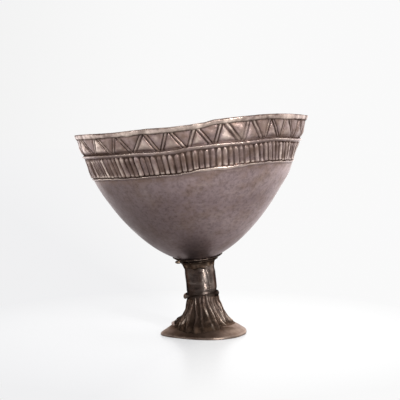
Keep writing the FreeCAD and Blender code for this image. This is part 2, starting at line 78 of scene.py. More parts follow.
# The stem and its solder stop just short of the seat
STEM_END = STEM_LENGTH - 0.02
STEM_LEAN = math.radians(6.2)
STEM_SHIFT = 0.6
LAP_STEP = 0.6
COLLAR_HEIGHT = 3.8
SOLDER_HEIGHT = 5
SEAT_SHEET = 0.9
SEAT_GAP = 0.8
FILM = 0.1

# Bowl
BOWL_SHIFT = 1.7
BOWL_LEAN = math.radians(3)
BOWL_SHEET = 1.1
BASE_CUT = 2.6
WALL_HEIGHT = 93.2
WALL_RADIUS = 81.05
# The wall's curve: the power that it widens by, and the share that it is drawn in at the top
WALL_POWER = 0.533
WALL_TUCK = 0.104
BORDER_TOP = 64.8
BORDER_WIDTH = 1.6
BORDER_FOOT = BORDER_TOP - BORDER_WIDTH
BODY_TOP = BORDER_FOOT - 0.9
# How far below the border its kinks fade out
LIFT_REACH = 25
CORDON_FOOT = 77.3
CORDON_WIDTH = 3.6
CORDON_MIDDLE = CORDON_FOOT + CORDON_WIDTH / 2
CORDON_TOP = CORDON_FOOT + CORDON_WIDTH
TONGUE_TOP = CORDON_FOOT + 0.8
STRIP_FOOT = 92.3
FRIEZE_HEIGHT = STRIP_FOOT - CORDON_TOP
STRIP_TOP = 95.5
STRIP_SHEET = 0.8
WALL_TOP = STRIP_TOP - STRIP_SHEET - FILM
ZIGZAG_FLARE = 1.0
RIM_SHIFT = 1.5

# Waves of the bent rim, each as millimetres and the turn at which it is highest
RIM_WAVES = [(3.9, 0), (0.5, 0.36), (1.1, 0.48), (0.5, 0.46)]

# Ornament
TONGUES = 120
TONGUE_START = 211.4
# How far the foot of a tongue lies ahead of its head: degrees round the rim, and degrees
TONGUE_TWISTS = [
    (150, 2.2), (200, 1.9), (240, 1.5), (285, 1.0), (305, 3.2), (330, 3.9), (350, 3.0), (20, 2.2),
    (90, 2.2),
]
VEES = 27
# The front vees, in degrees round the rim: top and foot of the left arm, foot and top of the right arm
FRONT_VEES = [
    (202.0, 213.0, 214.8, 216.8), (220.1, 227.0, 229.2, 231.7), (233.8, 240.6, 242.4, 247.3),
    (248.8, 254.8, 256.8, 259.2), (261.5, 267.8, 270.0, 272.1), (273.8, 280.2, 282.6, 284.4),
    (287.1, 294.6, 296.8, 298.0), (300.9, 306.9, 309.2, 310.6), (312.2, 318.2, 320.2, 321.1),
    (325.0, 331.8, 333.8, 336.0),
]
ARM_HALF = 1.08
FRIEZE_RADIUS = 80


def turn(degrees):
    return math.radians(degrees)


# Noise

# Marks of the hammer and of use: each layer's depth, the width of its bumps and its seed
WALL_MARKS = [(0.16, 26, 11), (0.07, 9, 12), (0.025, 3.5, 13)]
FRIEZE_MARKS = [(0.18, 3.2, 14), (0.1, 1.4, 15)]
SPOTS = [(0.8, 6, 16), (0.7, 2.2, 17)]
STRIP_BEATS = [(0.24, 8, 31), (0.24, 3, 32), (0.12, 1.4, 35)]
STRIP_EDGES = [(0.3, 7, 33), (0.15, 2.5, 34)]
STEM_MARKS = [(0.13, 7, 51), (0.05, 2.6, 52)]
COLLAR_MARKS = [(0.2, 3, 53), (0.12, 1.3, 54)]
SKIRT_MARKS = [(0.2, 4.5, 63), (0.12, 1.8, 64)]
PLATE_MARKS = [(0.16, 6, 71), (0.08, 2.2, 72)]


def noise(points, size, seed):
    """Smooth noise from -1 to 1 over points, with bumps about size wide."""
    table = np.random.default_rng(seed).uniform(-1, 1, 8192)
    place = np.asarray(points, float) / size + 64
    cell = np.floor(place).astype(np.int64)
    part = place - cell
    part = part * part * (3 - 2 * part)
    total = 0
    for corner in range(8):
        step = np.array([corner & 1, corner >> 1 & 1, corner >> 2 & 1])
        key = (cell + step) @ np.array([73856093, 19349663, 83492791])
        weight = np.prod(np.where(step, part, 1 - part), axis=-1)
        total = total + table[key % len(table)] * weight
    return total


def layered(points, layers):
    """A sum of layers of noise."""
    return sum(depth * noise(points, size, seed) for depth, size, seed in layers)


def drawer(seed, parts, columns):
    """Draws random values, one for each part of a ring, held over the part's columns."""
    rng = np.random.default_rng(seed)
    return lambda low, high: np.repeat(rng.uniform(low, high, parts), columns)


def held(value):
    return np.clip(value, 0, 1)


def ramp(low, high, value):
    """Smooth step from 0 at low to 1 at high."""
    share = held((value - low) / (high - low))
    return share * share * (3 - 2 * share)


def hump(value, centre, width):
    return np.exp(-(((value - centre) / width) ** 2))


# Angles and places


def wrapped(angle):
    """An angle brought within half a turn of zero."""
    return (angle + math.pi) % TAU - math.pi


def facing(angle, degrees, width):
    """1 where an angle looks in a direction, fading to both sides over a width in degrees."""
    return hump(wrapped(angle - turn(degrees)), 0, turn(width))


def even_angles(count):
    return TAU * np.arange(count) / count


def polar(radius, angle):
    """Points of a ring as across and back, ready to stack with a height."""
    return radius * np.cos(angle), radius * np.sin(angle)


def outward(angle):
    """Level directions away from the axis, as rows of three."""
    return np.stack([np.cos(angle), np.sin(angle), 0 * angle], axis=-1)


class Place:
    """A frame whose axis leans to the left about its origin."""

    def __init__(self, across, up, lean):
        self.across = across
        self.up = up
        self.lean = lean

    def world(self, across, back, up):
        """Points of this frame in the part's frame, as rows of three."""
        cos, sin = math.cos(self.lean), math.sin(self.lean)
        across, back, up = np.broadcast_arrays(across, back, up)
        level = self.across + across * cos - up * sin
        return np.stack([level, back, self.up + across * sin + up * cos], axis=-1)

    def ring(self, radius, angle, up):
        return self.world(*polar(radius, angle), up)

    def above(self, up):
        """A frame further up this one's axis."""
        across, _, up = self.world(0, 0, up)
        return Place(across, up, self.lean)


def skirt_centre(up):
    return SKIRT_SHIFT - up * math.tan(SKIRT_LEAN)


STEM = Place(skirt_centre(SKIRT_HEIGHT) - STEM_SHIFT, SKIRT_HEIGHT, STEM_LEAN)
SEAT = STEM.above(STEM_LENGTH + FILM)
SEAT_TOP = SEAT.above(SEAT_SHEET)
BOWL = Place(SEAT_TOP.across - BOWL_SHIFT, SEAT_TOP.up + SEAT_GAP, BOWL_LEAN)

# Meshes


def ring_part(start, count, index, parts):
    """The points of one part of a ring, from corner to corner, or the only point of a closed end."""
    if count == 1:
        return [start]
    step = count // parts
    return [start + (index * step + extra) % count for extra in range(step + 1)]


def faces_between(low_start, low_count, high_start, high_count):
    """Faces between two rings. One may be a single point or hold a whole multiple of the other's points."""
    counts = (low_count, high_count)
    parts = max(counts) if 1 in counts else min(counts)
    faces = []
    for index in range(parts):
        low = ring_part(low_start, low_count, index, parts)
        high = ring_part(high_start, high_count, index, parts)
        faces.append(low + high[::-1])
    return faces


def placed(name, data):
    """A new object in the scene."""
    made = bpy.data.objects.new(name, data)
    bpy.context.scene.collection.objects.link(made)
    return made


class Sheet:
    """A piece that grows ring by ring, each ring with its marks of dirt and painted shade, of wear and
    painted sheen, and of tone.
    """

    def __init__(self, name, closed=False):
        self.name = name
        self.closed = closed
        self.rings = []
        self.marks = {"grime_and_shade": [], "wear_and_sheen": [], "tone": []}

    def add(self, ring, grime_and_shade=0.0, wear_and_sheen=0.0, tone=0.0):
        """Adds a ring of points, or a single point where the piece comes to an end."""
        ring = np.atleast_2d(ring)
        self.rings.append(ring)
        for mark, value in zip(self.marks.values(), (grime_and_shade, wear_and_sheen, tone)):
            mark.append(np.broadcast_to(value, len(ring)))

    def faces(self):
        """Faces from each ring to the next, and from the last to the first of a closed piece."""
        sizes = [len(ring) for ring in self.rings]
        starts = np.cumsum([0] + sizes).tolist()
        faces = []
        for low in range(len(sizes) if self.closed else len(sizes) - 1):
            high = (low + 1) % len(sizes)
            faces += faces_between(starts[low], sizes[low], starts[high], sizes[high])
        return faces

    def finish(self, nodes, material):
        """Makes the piece and puts it on the body, in place of the CAD nodes that it stands for."""
        mesh = bpy.data.meshes.new(self.name)
        mesh.from_pydata(np.concatenate(self.rings) * METRE, [], self.faces())
        mesh.shade_smooth()
        for mark, values in self.marks.items():
            layer = mesh.attributes.new(mark, "FLOAT", "POINT")
            layer.data.foreach_set("value", np.concatenate(values).astype(np.float32))
        mesh.validate()
        mesh.materials.append(material)
        piece = placed(self.name, mesh)
        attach(piece, "root")
        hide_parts(*nodes)


# Bowl wall


def rim_wave(angle):
    """How far the bent rim and the friezes lie above or below a level ring."""
    total = 0
    for waves, (size, highest) in enumerate(RIM_WAVES, start=1):
        total = total + size * np.cos(waves * angle - TAU * highest)
    return total


def around(angle, table):
    """A value round the rim, read between given pairs of degrees and millimetres."""
    degrees, values = zip(*table)
    return np.interp(np.degrees(angle) % 360, degrees, values, period=360)


# Small lifts of the lines of the rim, where the sheet is kinked
LIP_LIFTS = [
    (150, 0), (187, 0), (213, -0.2), (230, -0.35), (241, 0.1), (250, 0.5), (261, -0.2), (270, -0.3),
    (277, -0.1), (281, 0.8), (294, 0.55), (314, 0.5), (321, 0.35), (344, 0.2), (20, 0), (80, 0.3),
    (120, -0.3),
]
CORDON_LIFTS = [
    (150, 0.2), (198, 0.5), (226, 0.8), (240, 1.0), (246, 0.8), (255, 0.1), (262, 0), (271, 0.8),
    (283, 0.1), (292, -0.4), (298, -0.8), (306, -0.4), (316, 0.25), (340, -0.5), (10, -0.3), (60, 0.4),
    (110, -0.3),
]
BORDER_LIFTS = [
    (150, 0), (187, -0.8), (215, 0), (232, 0), (251, 0.4), (265, -0.2), (274, 0.7), (281, 1.0),
    (289, 0.3), (306, 0), (332, 0.15), (355, 0.25), (40, -0.3), (100, 0.3),
]


def line_lift(angle, up):
    """Lift of a line that runs round the wall at this height."""
    border = around(angle, BORDER_LIFTS)
    cordon = around(angle, CORDON_LIFTS)
    lip = around(angle, LIP_LIFTS)
    low = ramp(BORDER_TOP - LIFT_REACH, BORDER_TOP, up) * border
    share = held((up - BORDER_TOP) / (CORDON_MIDDLE - BORDER_TOP))
    high = held((up - CORDON_MIDDLE) / (STRIP_FOOT - CORDON_MIDDLE))
    return low * (1 - share) + cordon * share * (1 - high) + lip * high


# Dents and bulges of the wall: degrees, height, half width in degrees, half height, millimetres outward
DENTS = [
    (190, 68, 16, 3.5, 0.5),
    (192, 76, 14, 4.0, -0.6),
    (350, 56, 14, 6.0, 0.9),
    (352, 70, 14, 6.0, -0.5),
    (222, 56, 9, 8.0, -0.5),
    (236, 30, 14, 9.0, -0.4),
    (262, 44, 12, 9.0, 0.35),
    (300, 40, 14, 10.0, -0.3),
    (316, 58, 10, 6.0, 0.35),
    (296, 85, 3.5, 3.5, 0.45),
    (40, 40, 16, 12.0, -0.9),
    (95, 50, 14, 10.0, 0.6),
    (140, 30, 18, 9.0, -0.8),
    (70, 84, 9, 8.0, -0.7),
    (130, 86, 8, 7.0, 0.6),
]


def dent(angle, up):
    total = 0
    for degrees, height, wide, tall, push in DENTS:
        total = total + push * facing(angle, degrees, wide) * hump(up, height, tall)
    return total


def wall_radius(up):
    share = np.maximum(up + BASE_CUT, 0) / (WALL_HEIGHT + BASE_CUT)
    return WALL_RADIUS * share**WALL_POWER * (1 - WALL_TUCK * share**3) / (1 - WALL_TUCK)


BASE_RADIUS = float(wall_radius(0))


def wall(angle, up, proud=0.0, inset=0.0, rough=0.0):
    """Points of the wall: proud of it level, inset square to the sheet, and beaten as far as rough says."""
    fade = held(up / BORDER_TOP) ** 2
    level = up + rim_wave(angle) * fade + line_lift(angle, up)
    flare = ZIGZAG_FLARE * np.maximum(0, up - CORDON_MIDDLE) / (STRIP_TOP - CORDON_MIDDLE)
    slope = np.arctan2(wall_radius(level + 1) - wall_radius(level), 1)
    radius = wall_radius(level) + proud + flare + dent(angle, up) - inset * np.cos(slope)
    shift = RIM_SHIFT * (np.maximum(up, 0) / WALL_HEIGHT) ** 4
    across, back = polar(radius, angle)
    points = BOWL.world(shift + across, back, level + inset * np.sin(slope))
    push = layered(points, WALL_MARKS) * held(up / 12)
    if rough:
        push = push + rough * layered(points, FRIEZE_MARKS)
    return points + outward(angle) * push[:, None]


# Friezes

# Columns of a tongue, crowded at the grooves between tongues, as shares of its width
TONGUE_COLUMNS = np.array([0, 0.07, 0.14, 0.28, 0.42, 0.58, 0.72, 0.86, 0.93])


def tongue_angles():
    """Angles of the tongues' columns, and the share of a tongue's width that each stands at."""
    rng = np.random.default_rng(21)
    starts = np.arange(TONGUES + 1) + np.append(rng.uniform(-0.09, 0.09, TONGUES), 0)
    starts[-1] = starts[0] + TONGUES
    columns = starts[:-1, None] + (starts[1:] - starts[:-1])[:, None] * TONGUE_COLUMNS
    return turn(TONGUE_START) + TAU / TONGUES * columns.ravel(), np.tile(TONGUE_COLUMNS, TONGUES)


def twisted(angle, share):
    """Angles moved along the lean of the tongues, at a share of their height."""
    return angle + np.radians(around(angle, TONGUE_TWISTS)) * (0.5 - share)


def rounded_end(depth, length):
    """Half width of a rounded end as a share of the full one, at a depth past its start."""
    return np.sqrt(held(1 - held(depth / length) ** 2))


def tongue_relief(share, phase):
    """Relief of the tongues at a share of their height, with how worn and how dark each place is."""
    each = drawer(22, TONGUES, len(TONGUE_COLUMNS))
    tall = each(0.95, 1.02)
    height = each(0.0, 0.25)
    groove = each(0.55, 0.85)
    scooped = each(0, 1) < 0.3
    scoop = np.where(scooped, each(0.1, 0.25), 0)
    tilt = each(-0.08, 0.08)
    across = np.abs(2 * phase - 1)
    limit = np.minimum(rounded_end(share - tall + 0.26, 0.26), rounded_end(0.06 - share, 0.06)) * 0.92
    body = ramp(0, 0.24, limit - across)
    crown = -0.3 * across**2 + tilt * (2 * phase - 1)
    crown -= scoop * held(1 - (across / 0.5) ** 2) * body
    floor = groove * (1 - 0.55 * ramp(0.9, 1.0, share))
    relief = -floor + (floor + height + crown) * body
    relief += (0.3 * hump(share, 0.05, 0.06) + 0.12 * hump(share, 0.84, 0.07)) * body
    wear_and_sheen = ramp(0.0, 0.3, relief) * (0.7 + 0.35 * ramp(0.5, 0.0, share))
    grime_and_shade = 1.35 * ramp(0.22, -0.28, relief)
    return relief, wear_and_sheen, grime_and_shade


# Sections of the two raised lines, as a share of their height and millimetres proud. The cordon has a sharp
# section at the left and a soft and broad one at the right.
CORDON_PROFILE = [
    (0, -0.1, 0.0), (0.1, 0.05, 0.25), (0.2, 0.3, 0.5), (0.3, 0.75, 0.68), (0.38, 1.05, 0.76),
    (0.46, 1.15, 0.85), (0.54, 1.0, 0.98), (0.62, 0.45, 1.1), (0.7, -0.1, 1.1), (0.8, -0.45, 0.75),
    (0.9, -0.6, 0.1), (1, -0.6, -0.3),
]
BORDER_PROFILE = [
    (0, -0.12), (0.2, 0.0), (0.4, 0.35), (0.56, 0.75), (0.7, 0.85), (0.82, 0.6), (0.92, 0.0), (1, -0.5),
]
TONGUE_SHARES = [0.0, 0.03, 0.07, 0.13, 0.24, 0.37, 0.5, 0.62, 0.71, 0.78, 0.83, 0.87, 0.91, 0.95, 0.98]
ZIGZAG_SHARES = [0.03, 0.07, 0.12, 0.18, 0.27, 0.36, 0.45, 0.54, 0.63, 0.72, 0.8, 0.87, 0.93, 0.97, 1.0]
# Columns across an arm, in halves of its width, and across a panel, as shares of its width
ARM_STEPS = np.array([-1.5, -1.25, -1.0, -0.72, 0, 0.72, 1.0, 1.25, 1.5])
PANEL_STEPS = np.arange(1, 12) / 12
# The columns of an arm reach at most this share of the way to the next arm
PANEL_LIMIT = 0.47


def vees():
    """The arms of every vee: top and foot of the left arm, foot and top of the right, as angles."""
    rng = np.random.default_rng(23)
    rows = list(FRONT_VEES)
    start = FRONT_VEES[-1][0] + 13.4
    unseen = VEES - len(rows)
    period = (FRONT_VEES[0][0] + 360 - start) / unseen
    for index in range(unseen):
        base = start + period * index
        rows.append([base + period * step + rng.uniform(-0.3, 0.3) for step in (0, 0.5, 0.665, 0.83)])
    return np.radians(np.array(rows))


VEE_ROWS = vees()


def arm_halves():
    """Half the width of each left and right arm along the rim, wider where the arm slants."""
    rng = np.random.default_rng(25)
    halves = []
    for foot, top in ((1, 0), (2, 3)):
        run = (VEE_ROWS[:, top] - VEE_ROWS[:, foot]) * FRIEZE_RADIUS
        slant = np.hypot(run, FRIEZE_HEIGHT) / FRIEZE_HEIGHT
        halves.append(ARM_HALF * slant * rng.uniform(0.86, 1.12, VEES) / FRIEZE_RADIUS)
    return halves


LEFT_HALVES, RIGHT_HALVES = arm_halves()


def arms(share):
    """Angles of the left and right arms at a share of the frieze's height, with the next left arm."""
    left = VEE_ROWS[:, 1] + (VEE_ROWS[:, 0] - VEE_ROWS[:, 1]) * share
    right = VEE_ROWS[:, 2] + (VEE_ROWS[:, 3] - VEE_ROWS[:, 2]) * share
    following = np.append(left[1:], left[0] + TAU)
    return left, right, following


def zigzag_angles(share):
    """Columns that follow the arms, so that their grooves stay crisp."""
    left, right, following = arms(share)
    steps = ARM_STEPS / ARM_STEPS[-1]
    left_reach, right_reach = ARM_STEPS[-1] * LEFT_HALVES, ARM_STEPS[-1] * RIGHT_HALVES
    inner = PANEL_LIMIT * (right - left)
    outer = PANEL_LIMIT * (following - right)
    inner_left, inner_right = np.minimum(left_reach, inner), np.minimum(right_reach, inner)
    outer_left, outer_right = np.minimum(left_reach, np.roll(outer, 1)), np.minimum(right_reach, outer)

    def arm(middle, before, after):
        return middle[:, None] + steps * np.where(steps < 0, before[:, None], after[:, None])

    def panel(start, end):
        return start[:, None] + (end - start)[:, None] * PANEL_STEPS

    blocks = [
        arm(left, outer_left, inner_left),
        panel(left + inner_left, right - inner_right),
        arm(right, inner_right, outer_right),
        panel(right + outer_right, following - np.roll(outer_left, -1)),
    ]
    return np.concatenate(blocks, axis=1).ravel()


def zigzag_relief(share, angle):
    """Relief of the zigzag: raised arms between grooves, and panels that swell between them."""
    per = len(angle) // VEES
    each = drawer(24, VEES, per)
    left, right, _ = arms(share)
    lines = np.concatenate([left - TAU, right - TAU, left, right, left + TAU, right + TAU])
    halves = np.tile(np.concatenate([LEFT_HALVES, RIGHT_HALVES]), 3)
    gaps = np.abs(angle[:, None] - lines[None, :]) / halves[None, :]
    near = gaps.min(axis=1)
    bead = each(0.15, 0.45)
    swell_down = each(0.15, 0.6)
    swell_up = each(0.5, 1.1)
    arm = 1 - ramp(0.6, 0.9, near)
    grooves = -0.75 * hump(gaps, 1, 0.38).max(axis=1) * (1 - arm)
    swell = np.where(np.arange(len(angle)) % per < per / 2, swell_down, swell_up)
    height = FRIEZE_HEIGHT * share
    below = FRIEZE_HEIGHT - height
    edge = np.minimum((near - 1.4) * ARM_HALF, np.minimum(height - 0.9, below))
    panel = 1.15 * swell * (1 - np.exp(-np.maximum(edge, 0) / 2.2)) * (1 - arm)
    relief = grooves + (bead - 0.12 * hump(near, 0, 0.25)) * arm + panel
    relief = relief - 0.1 - 0.35 * ramp(1.4, 0.3, height)
    wear_and_sheen = held(0.7 * arm + ramp(0.1, 0.7, panel) * (1 - arm))
    # Darker at the foot of the panels, most at the left.
    darkening = 0.25 + 0.75 * facing(angle, 228, 24)
    grime_and_shade = 1.3 * hump(gaps, 1, 0.5).max(axis=1) ** 1.5 + darkening * ramp(1.9, 0.6, height)
    # Painted shadow under the strip, along the top of the frieze.
    grime_and_shade = grime_and_shade + 0.8 * ramp(0.9, 0.0, below)
    return relief, wear_and_sheen * ramp(0.4, 1.8, height), held(grime_and_shade)


def spotty(points, wear_and_sheen, grime_and_shade):
    """Wear and dirt, with the painted sheen and shade that ride on the same marks, that come and go in
    spots.
    """
    spots = 0.6 + layered(points, SPOTS)
    darkening = 0.75 + 0.5 * noise(points, 5, 18)
    wear_and_sheen = held(wear_and_sheen * np.clip(spots, 0.05, 1.3))
    grime_and_shade = held(grime_and_shade * darkening + 0.5 * held(-0.3 - spots))
    return wear_and_sheen, grime_and_shade


def add_body(sheet, angle):
    """The floor and the plain body, up to the border."""
    sheet.add(BOWL.world(0, 0, 0))
    for share in (0.35, 0.7, 0.93):
        sheet.add(BOWL.ring(BASE_RADIUS * share, angle, 0))
    for share in np.linspace(0, 1, 56) ** 1.25:
        up = BODY_TOP * share
        sheet.add(wall(angle, up), tone=ramp(BORDER_FOOT - 5, BODY_TOP, up))


def add_border(sheet, angle, wobble):
    """The ridge under the tongues, rubbed flat at the front, with a highlight painted along it there and at
    the left.
    """
    # A painted highlight along the ridge at the front and at the left, over the wear on its crest.
    wear_and_highlight = 0.5 + 2.4 * facing(angle, 286, 17) + 0.9 * facing(angle, 212, 14)
    flat = facing(angle, 288, 11)
    for share, proud in BORDER_PROFILE:
        proud = proud + 0.12 * wobble * (0 < share < 1)
        proud = proud + flat * (1.1 * ramp(0, 0.25, share) * ramp(1.0, 0.75, share) - proud)
        wear_and_sheen = ramp(0.2, 0.6, proud) * wear_and_highlight * (0.9 + 0.5 * wobble)
        leaning = angle + (twisted(angle, 0) - angle) * ramp(0, 1, share)
        up = BORDER_FOOT + BORDER_WIDTH * share + 0.6 * wobble - 0.7 * flat * (1 - share)
        sheet.add(wall(leaning, up, proud), ramp(0, -0.3, proud), held(wear_and_sheen), 0.6)


def add_tongues(sheet, angle, phase, wobble):
    foot = BORDER_TOP + 0.25
    strong = 1 + 0.7 * facing(angle, 210, 22)
    # Painted shadow at the feet of the tongues, left of the front.
    foot_shadow = 0.9 * facing(angle, 250, 20)
    # Painted highlights on the tongues at the left and at the front right: more sheen, less dark in the
    # grooves.
    bright = facing(angle, 217, 12) + facing(angle, 293, 13)
    for share in TONGUE_SHARES:
        relief, wear_and_sheen, grime_and_shade = tongue_relief(share, phase)
        up = foot + (TONGUE_TOP - foot) * share + 0.6 * wobble * (1 - share)
        ring = wall(twisted(angle, share), up, relief * strong, rough=1)
        grime_and_shade = (grime_and_shade + foot_shadow * ramp(0.12, 0.03, share)) * (1 - 0.45 * bright)
        wear_and_sheen, grime_and_shade = spotty(ring, wear_and_sheen * (1 + 1.3 * bright), grime_and_shade)
        sheet.add(ring, grime_and_shade, wear_and_sheen, 1)


def add_cordon(sheet, angle):
    """The raised cordon, where the columns pass from the tongues to the arms of the zigzag."""
    foot = zigzag_angles(0.0)
    for share, sharp, soft in CORDON_PROFILE:
        passed = ramp(0.1, 1, share)
        column = twisted(angle, 1) * (1 - passed) + foot * passed
        ripple = 0.1 * np.sin(column * 83) + 0.08 * np.sin(column * 131 + 2)
        softness = held(facing(column, 272, 40) + facing(column, 80, 70))
        proud = sharp * (1 - softness) + soft * softness + ripple * (0.1 < share < 0.9)
        wear_and_sheen = ramp(0.35, 1.0, proud) * (0.55 + 0.3 * np.sin(column * 9 + 1))
        up = TONGUE_TOP + (CORDON_TOP - TONGUE_TOP) * share
        sheet.add(wall(column, up, proud, rough=1), ramp(0.15, -0.35, proud), wear_and_sheen, 1)


def add_zigzag(sheet):
    """The zigzag frieze, dimmer in two stretches, with a glint painted on one dent."""
    for share in ZIGZAG_SHARES:
        angle = zigzag_angles(share)
        relief, wear_and_sheen, grime_and_shade = zigzag_relief(share, angle)
        ring = wall(angle, CORDON_TOP + FRIEZE_HEIGHT * share, relief, rough=1.5)
        wear_and_sheen, grime_and_shade = spotty(ring, wear_and_sheen, grime_and_shade)
        # A glint painted on the dent at the front right.
        painted_glint = 0.45 * facing(angle, 296, 3.5) * hump(share, 0.3, 0.25)
        dim = facing(angle, 335, 24) + 0.7 * facing(angle, 257, 14)
        grime_and_shade = held(grime_and_shade + 0.2 * dim) * (1 - painted_glint)
        sheet.add(ring, grime_and_shade, held(wear_and_sheen * (1 - 0.7 * dim) + painted_glint), 1)


def add_inside(sheet):
    """The edge under the strip and the inside, which repeats the larger forms softly."""
    top = zigzag_angles(1.0)
    # The wall under the strip is painted in full shade.
    sheet.add(wall(top, STRIP_FOOT + 0.4, -0.05), 1.0, 0.0, 1)
    sheet.add(wall(top, WALL_TOP), 1.0, 0.0, 1)
    few = top[::3]
    even = few[0] + even_angles(len(few))
    # The inside below the rim is painted partly in shade.
    sheet.add(wall(few, WALL_TOP, -BOWL_SHEET), 0.6)
    sheet.add(wall(few * 0.5 + even * 0.5, STRIP_FOOT, -BOWL_SHEET), 0.6)
    for up in np.linspace(STRIP_FOOT - 1.5, CORDON_TOP, 7):
        swell = 0.35 * np.sin((even - VEE_ROWS[0, 0]) * VEES)
        swell = swell * ramp(0, 4.1, up - CORDON_TOP) * ramp(1.3, 4.3, STRIP_FOOT - up)
        sheet.add(wall(even, up, swell, BOWL_SHEET), tone=1)
    for up in (CORDON_TOP - 1.0, CORDON_TOP - 1.8, CORDON_TOP - 2.6, CORDON_FOOT):
        sheet.add(wall(even, up, 0.8 * hump(up, CORDON_MIDDLE, 1.1), BOWL_SHEET), tone=1)
    for up in np.linspace(CORDON_FOOT - 1, BORDER_TOP, 6):
        sheet.add(wall(even, up, -0.4 + 0.1 * np.sin(even * TONGUES), BOWL_SHEET), tone=1)
    for share in np.linspace(1, 0, 34)[:-1] ** 1.25:
        sheet.add(wall(even, (BORDER_FOOT - 0.5) * share, 0.0, BOWL_SHEET))
    for share in (0.75, 0.4):
        sheet.add(BOWL.ring(BASE_RADIUS * share, even, BOWL_SHEET))
    sheet.add(BOWL.world(0, 0, BOWL_SHEET))


def bowl(material):
    sheet = Sheet("bowl")
    angle, phase = tongue_angles()
    wobble = 0.22 * np.sin(angle * 37) + 0.15 * np.sin(angle * 61 + 1)
    add_body(sheet, angle[::3])
    add_border(sheet, angle, wobble)
    add_tongues(sheet, angle, phase, wobble)
    add_cordon(sheet, angle)
    add_zigzag(sheet)
    add_inside(sheet)
    sheet.finish(["bowl_shell"], material)


# Section of the folded strip: height above its foot and millimetres proud of the wall
STRIP_SECTION = [
    (0.0, 0.3), (0.05, 0.6), (0.35, 0.85), (0.9, 1.05), (1.6, 1.2), (2.3, 1.35), (2.9, 1.35), (3.3, 1.05),
    (3.6, 0.3), (3.66, -0.55), (3.5, -1.35), (3.1, -1.85), (2.3, -2.02), (1.5, -2.0), (0.8, -1.95),
    (0.6, -1.75), (0.62, -1.25), (1.2, -1.2), (2.35, -1.2), (2.38, -0.6), (2.35, 0.1), (1.0, 0.1),
]


def rim_strip(material):
    """The strip folded over the rim, beaten and rubbed, lighter towards the front and darker further right,
    with painted shade along its top edge.
    """
    sheet = Sheet("rim_strip_folded", closed=True)
    angle = even_angles(900)
    brightening = 0.79 - 0.3 * facing(angle, 325, 35) + 0.25 * facing(angle, 262, 20)
    for up, proud in STRIP_SECTION:
        outside = proud > 0.15 or proud < -1.5
        points = wall(angle, STRIP_FOOT + up, proud)
        beat = layered(points, STRIP_BEATS)
        edge = layered(points, STRIP_EDGES) * max(0, 1 - up / 0.8) * (proud > 0.2)
        if outside:
            side = 1 if proud > 0 else -1
            points = points + outward(angle) * (side * (beat - 0.15))[:, None]
        if up > 2.7:
            points[:, 2] += 0.35 * beat - 0.1
        points[:, 2] += edge
        # Painted shade along the top edge.
        top_edge_shade = 0.55 * ramp(2.6, 3.4, up)
        wear_and_sheen = held(brightening + 1.1 * beat - 1.2 * top_edge_shade)
        # Painted shade along the strip's foot; the hidden faces inside the fold are painted in full shade.
        grime_and_shade = np.clip(0.8 * ramp(1.0, 0.1, up) - 1.5 * beat + 0.05 + top_edge_shade, 0, 0.85)
        if not outside and up < 3.2:
            grime_and_shade = 1.0
        sheet.add(points, grime_and_shade, wear_and_sheen, 1)
    sheet.finish(["rim_strip"], material)


# Seat and the solder round the stem

# Section of the seat: radius and height, first its underside and then its top
SEAT_UNDERSIDE = [
    (0, 0), (5, 0), (10.5, 0), (12, 0.05), (13.5, 0.55), (15.2, 1.25), (16.6, 1.9), (17.6, 2.3),
    (18.0, 2.55),
]
SEAT_TOP_SIDE = [
    (18.05, 2.8), (17.8, 3.0), (17, 2.7), (15.2, 2.0), (13.2, 1.35), (12, 0.95), (8, 0.9), (0, 0.9),
]


def bowl_underside(across, back):
    """Height of the bowl's outer skin above a spot on the floor plan, near its base."""
    reach = np.hypot(across - BOWL.across, back)
    share = (reach * (1 - WALL_TUCK) / WALL_RADIUS) ** (1 / WALL_POWER)
    level = np.maximum(share * (WALL_HEIGHT + BASE_CUT) - BASE_CUT, 0)
    return BOWL.up + (across - BOWL.across) * math.sin(BOWL_LEAN) + level


def seat(material):
    """A thin plate whose rim is beaten up against the bowl, but for a tip at each side."""
    sheet = Sheet("seat_plate")
    angle = even_angles(360)
    spread = 0.5 * np.sin(3 * angle + 1) + 0.3 * np.sin(7 * angle + 2) + 0.15 * np.sin(17 * angle)
    tips = held(facing(angle, 180, 20) + facing(angle, 0, 18))
    for number, (radius, up) in enumerate(SEAT_UNDERSIDE + SEAT_TOP_SIDE):
        if radius == 0:
            sheet.add(SEAT.world(0, 0, up))
            continue
        points = SEAT.ring(radius + (spread - 3.6) * ramp(12, 18, radius) * (1 - tips), angle, up)
        edge = bowl_underside(points[:, 0], points[:, 1]) - FILM
        if number < len(SEAT_UNDERSIDE):
            edge = edge - (1.55 - 0.75 * tips) + 0.12 * noise(points, 3, 41)
        points[:, 2] += (edge - points[:, 2]) * ramp(11.5, 15.5, radius)
        sheet.add(points, 0.7 - 0.55 * tips, 0.2 * ramp(16.5, 18.0, radius), 1)
    sheet.finish(["seat_disc"], material)


# Section of the solder: height above its foot and millimetres proud of the stem, outside and then inside
SOLDER_OUTSIDE = [
    (-0.2, -0.1), (0.8, 0.12), (1.8, 0.28), (2.6, 0.5), (3.3, 0.85), (3.9, 1.3), (4.4, 2.0), (4.8, 2.9),
    (4.98, 3.35),
]
SOLDER_INSIDE = [(4.98, 0.12), (3.0, -0.1), (0.8, -0.3)]


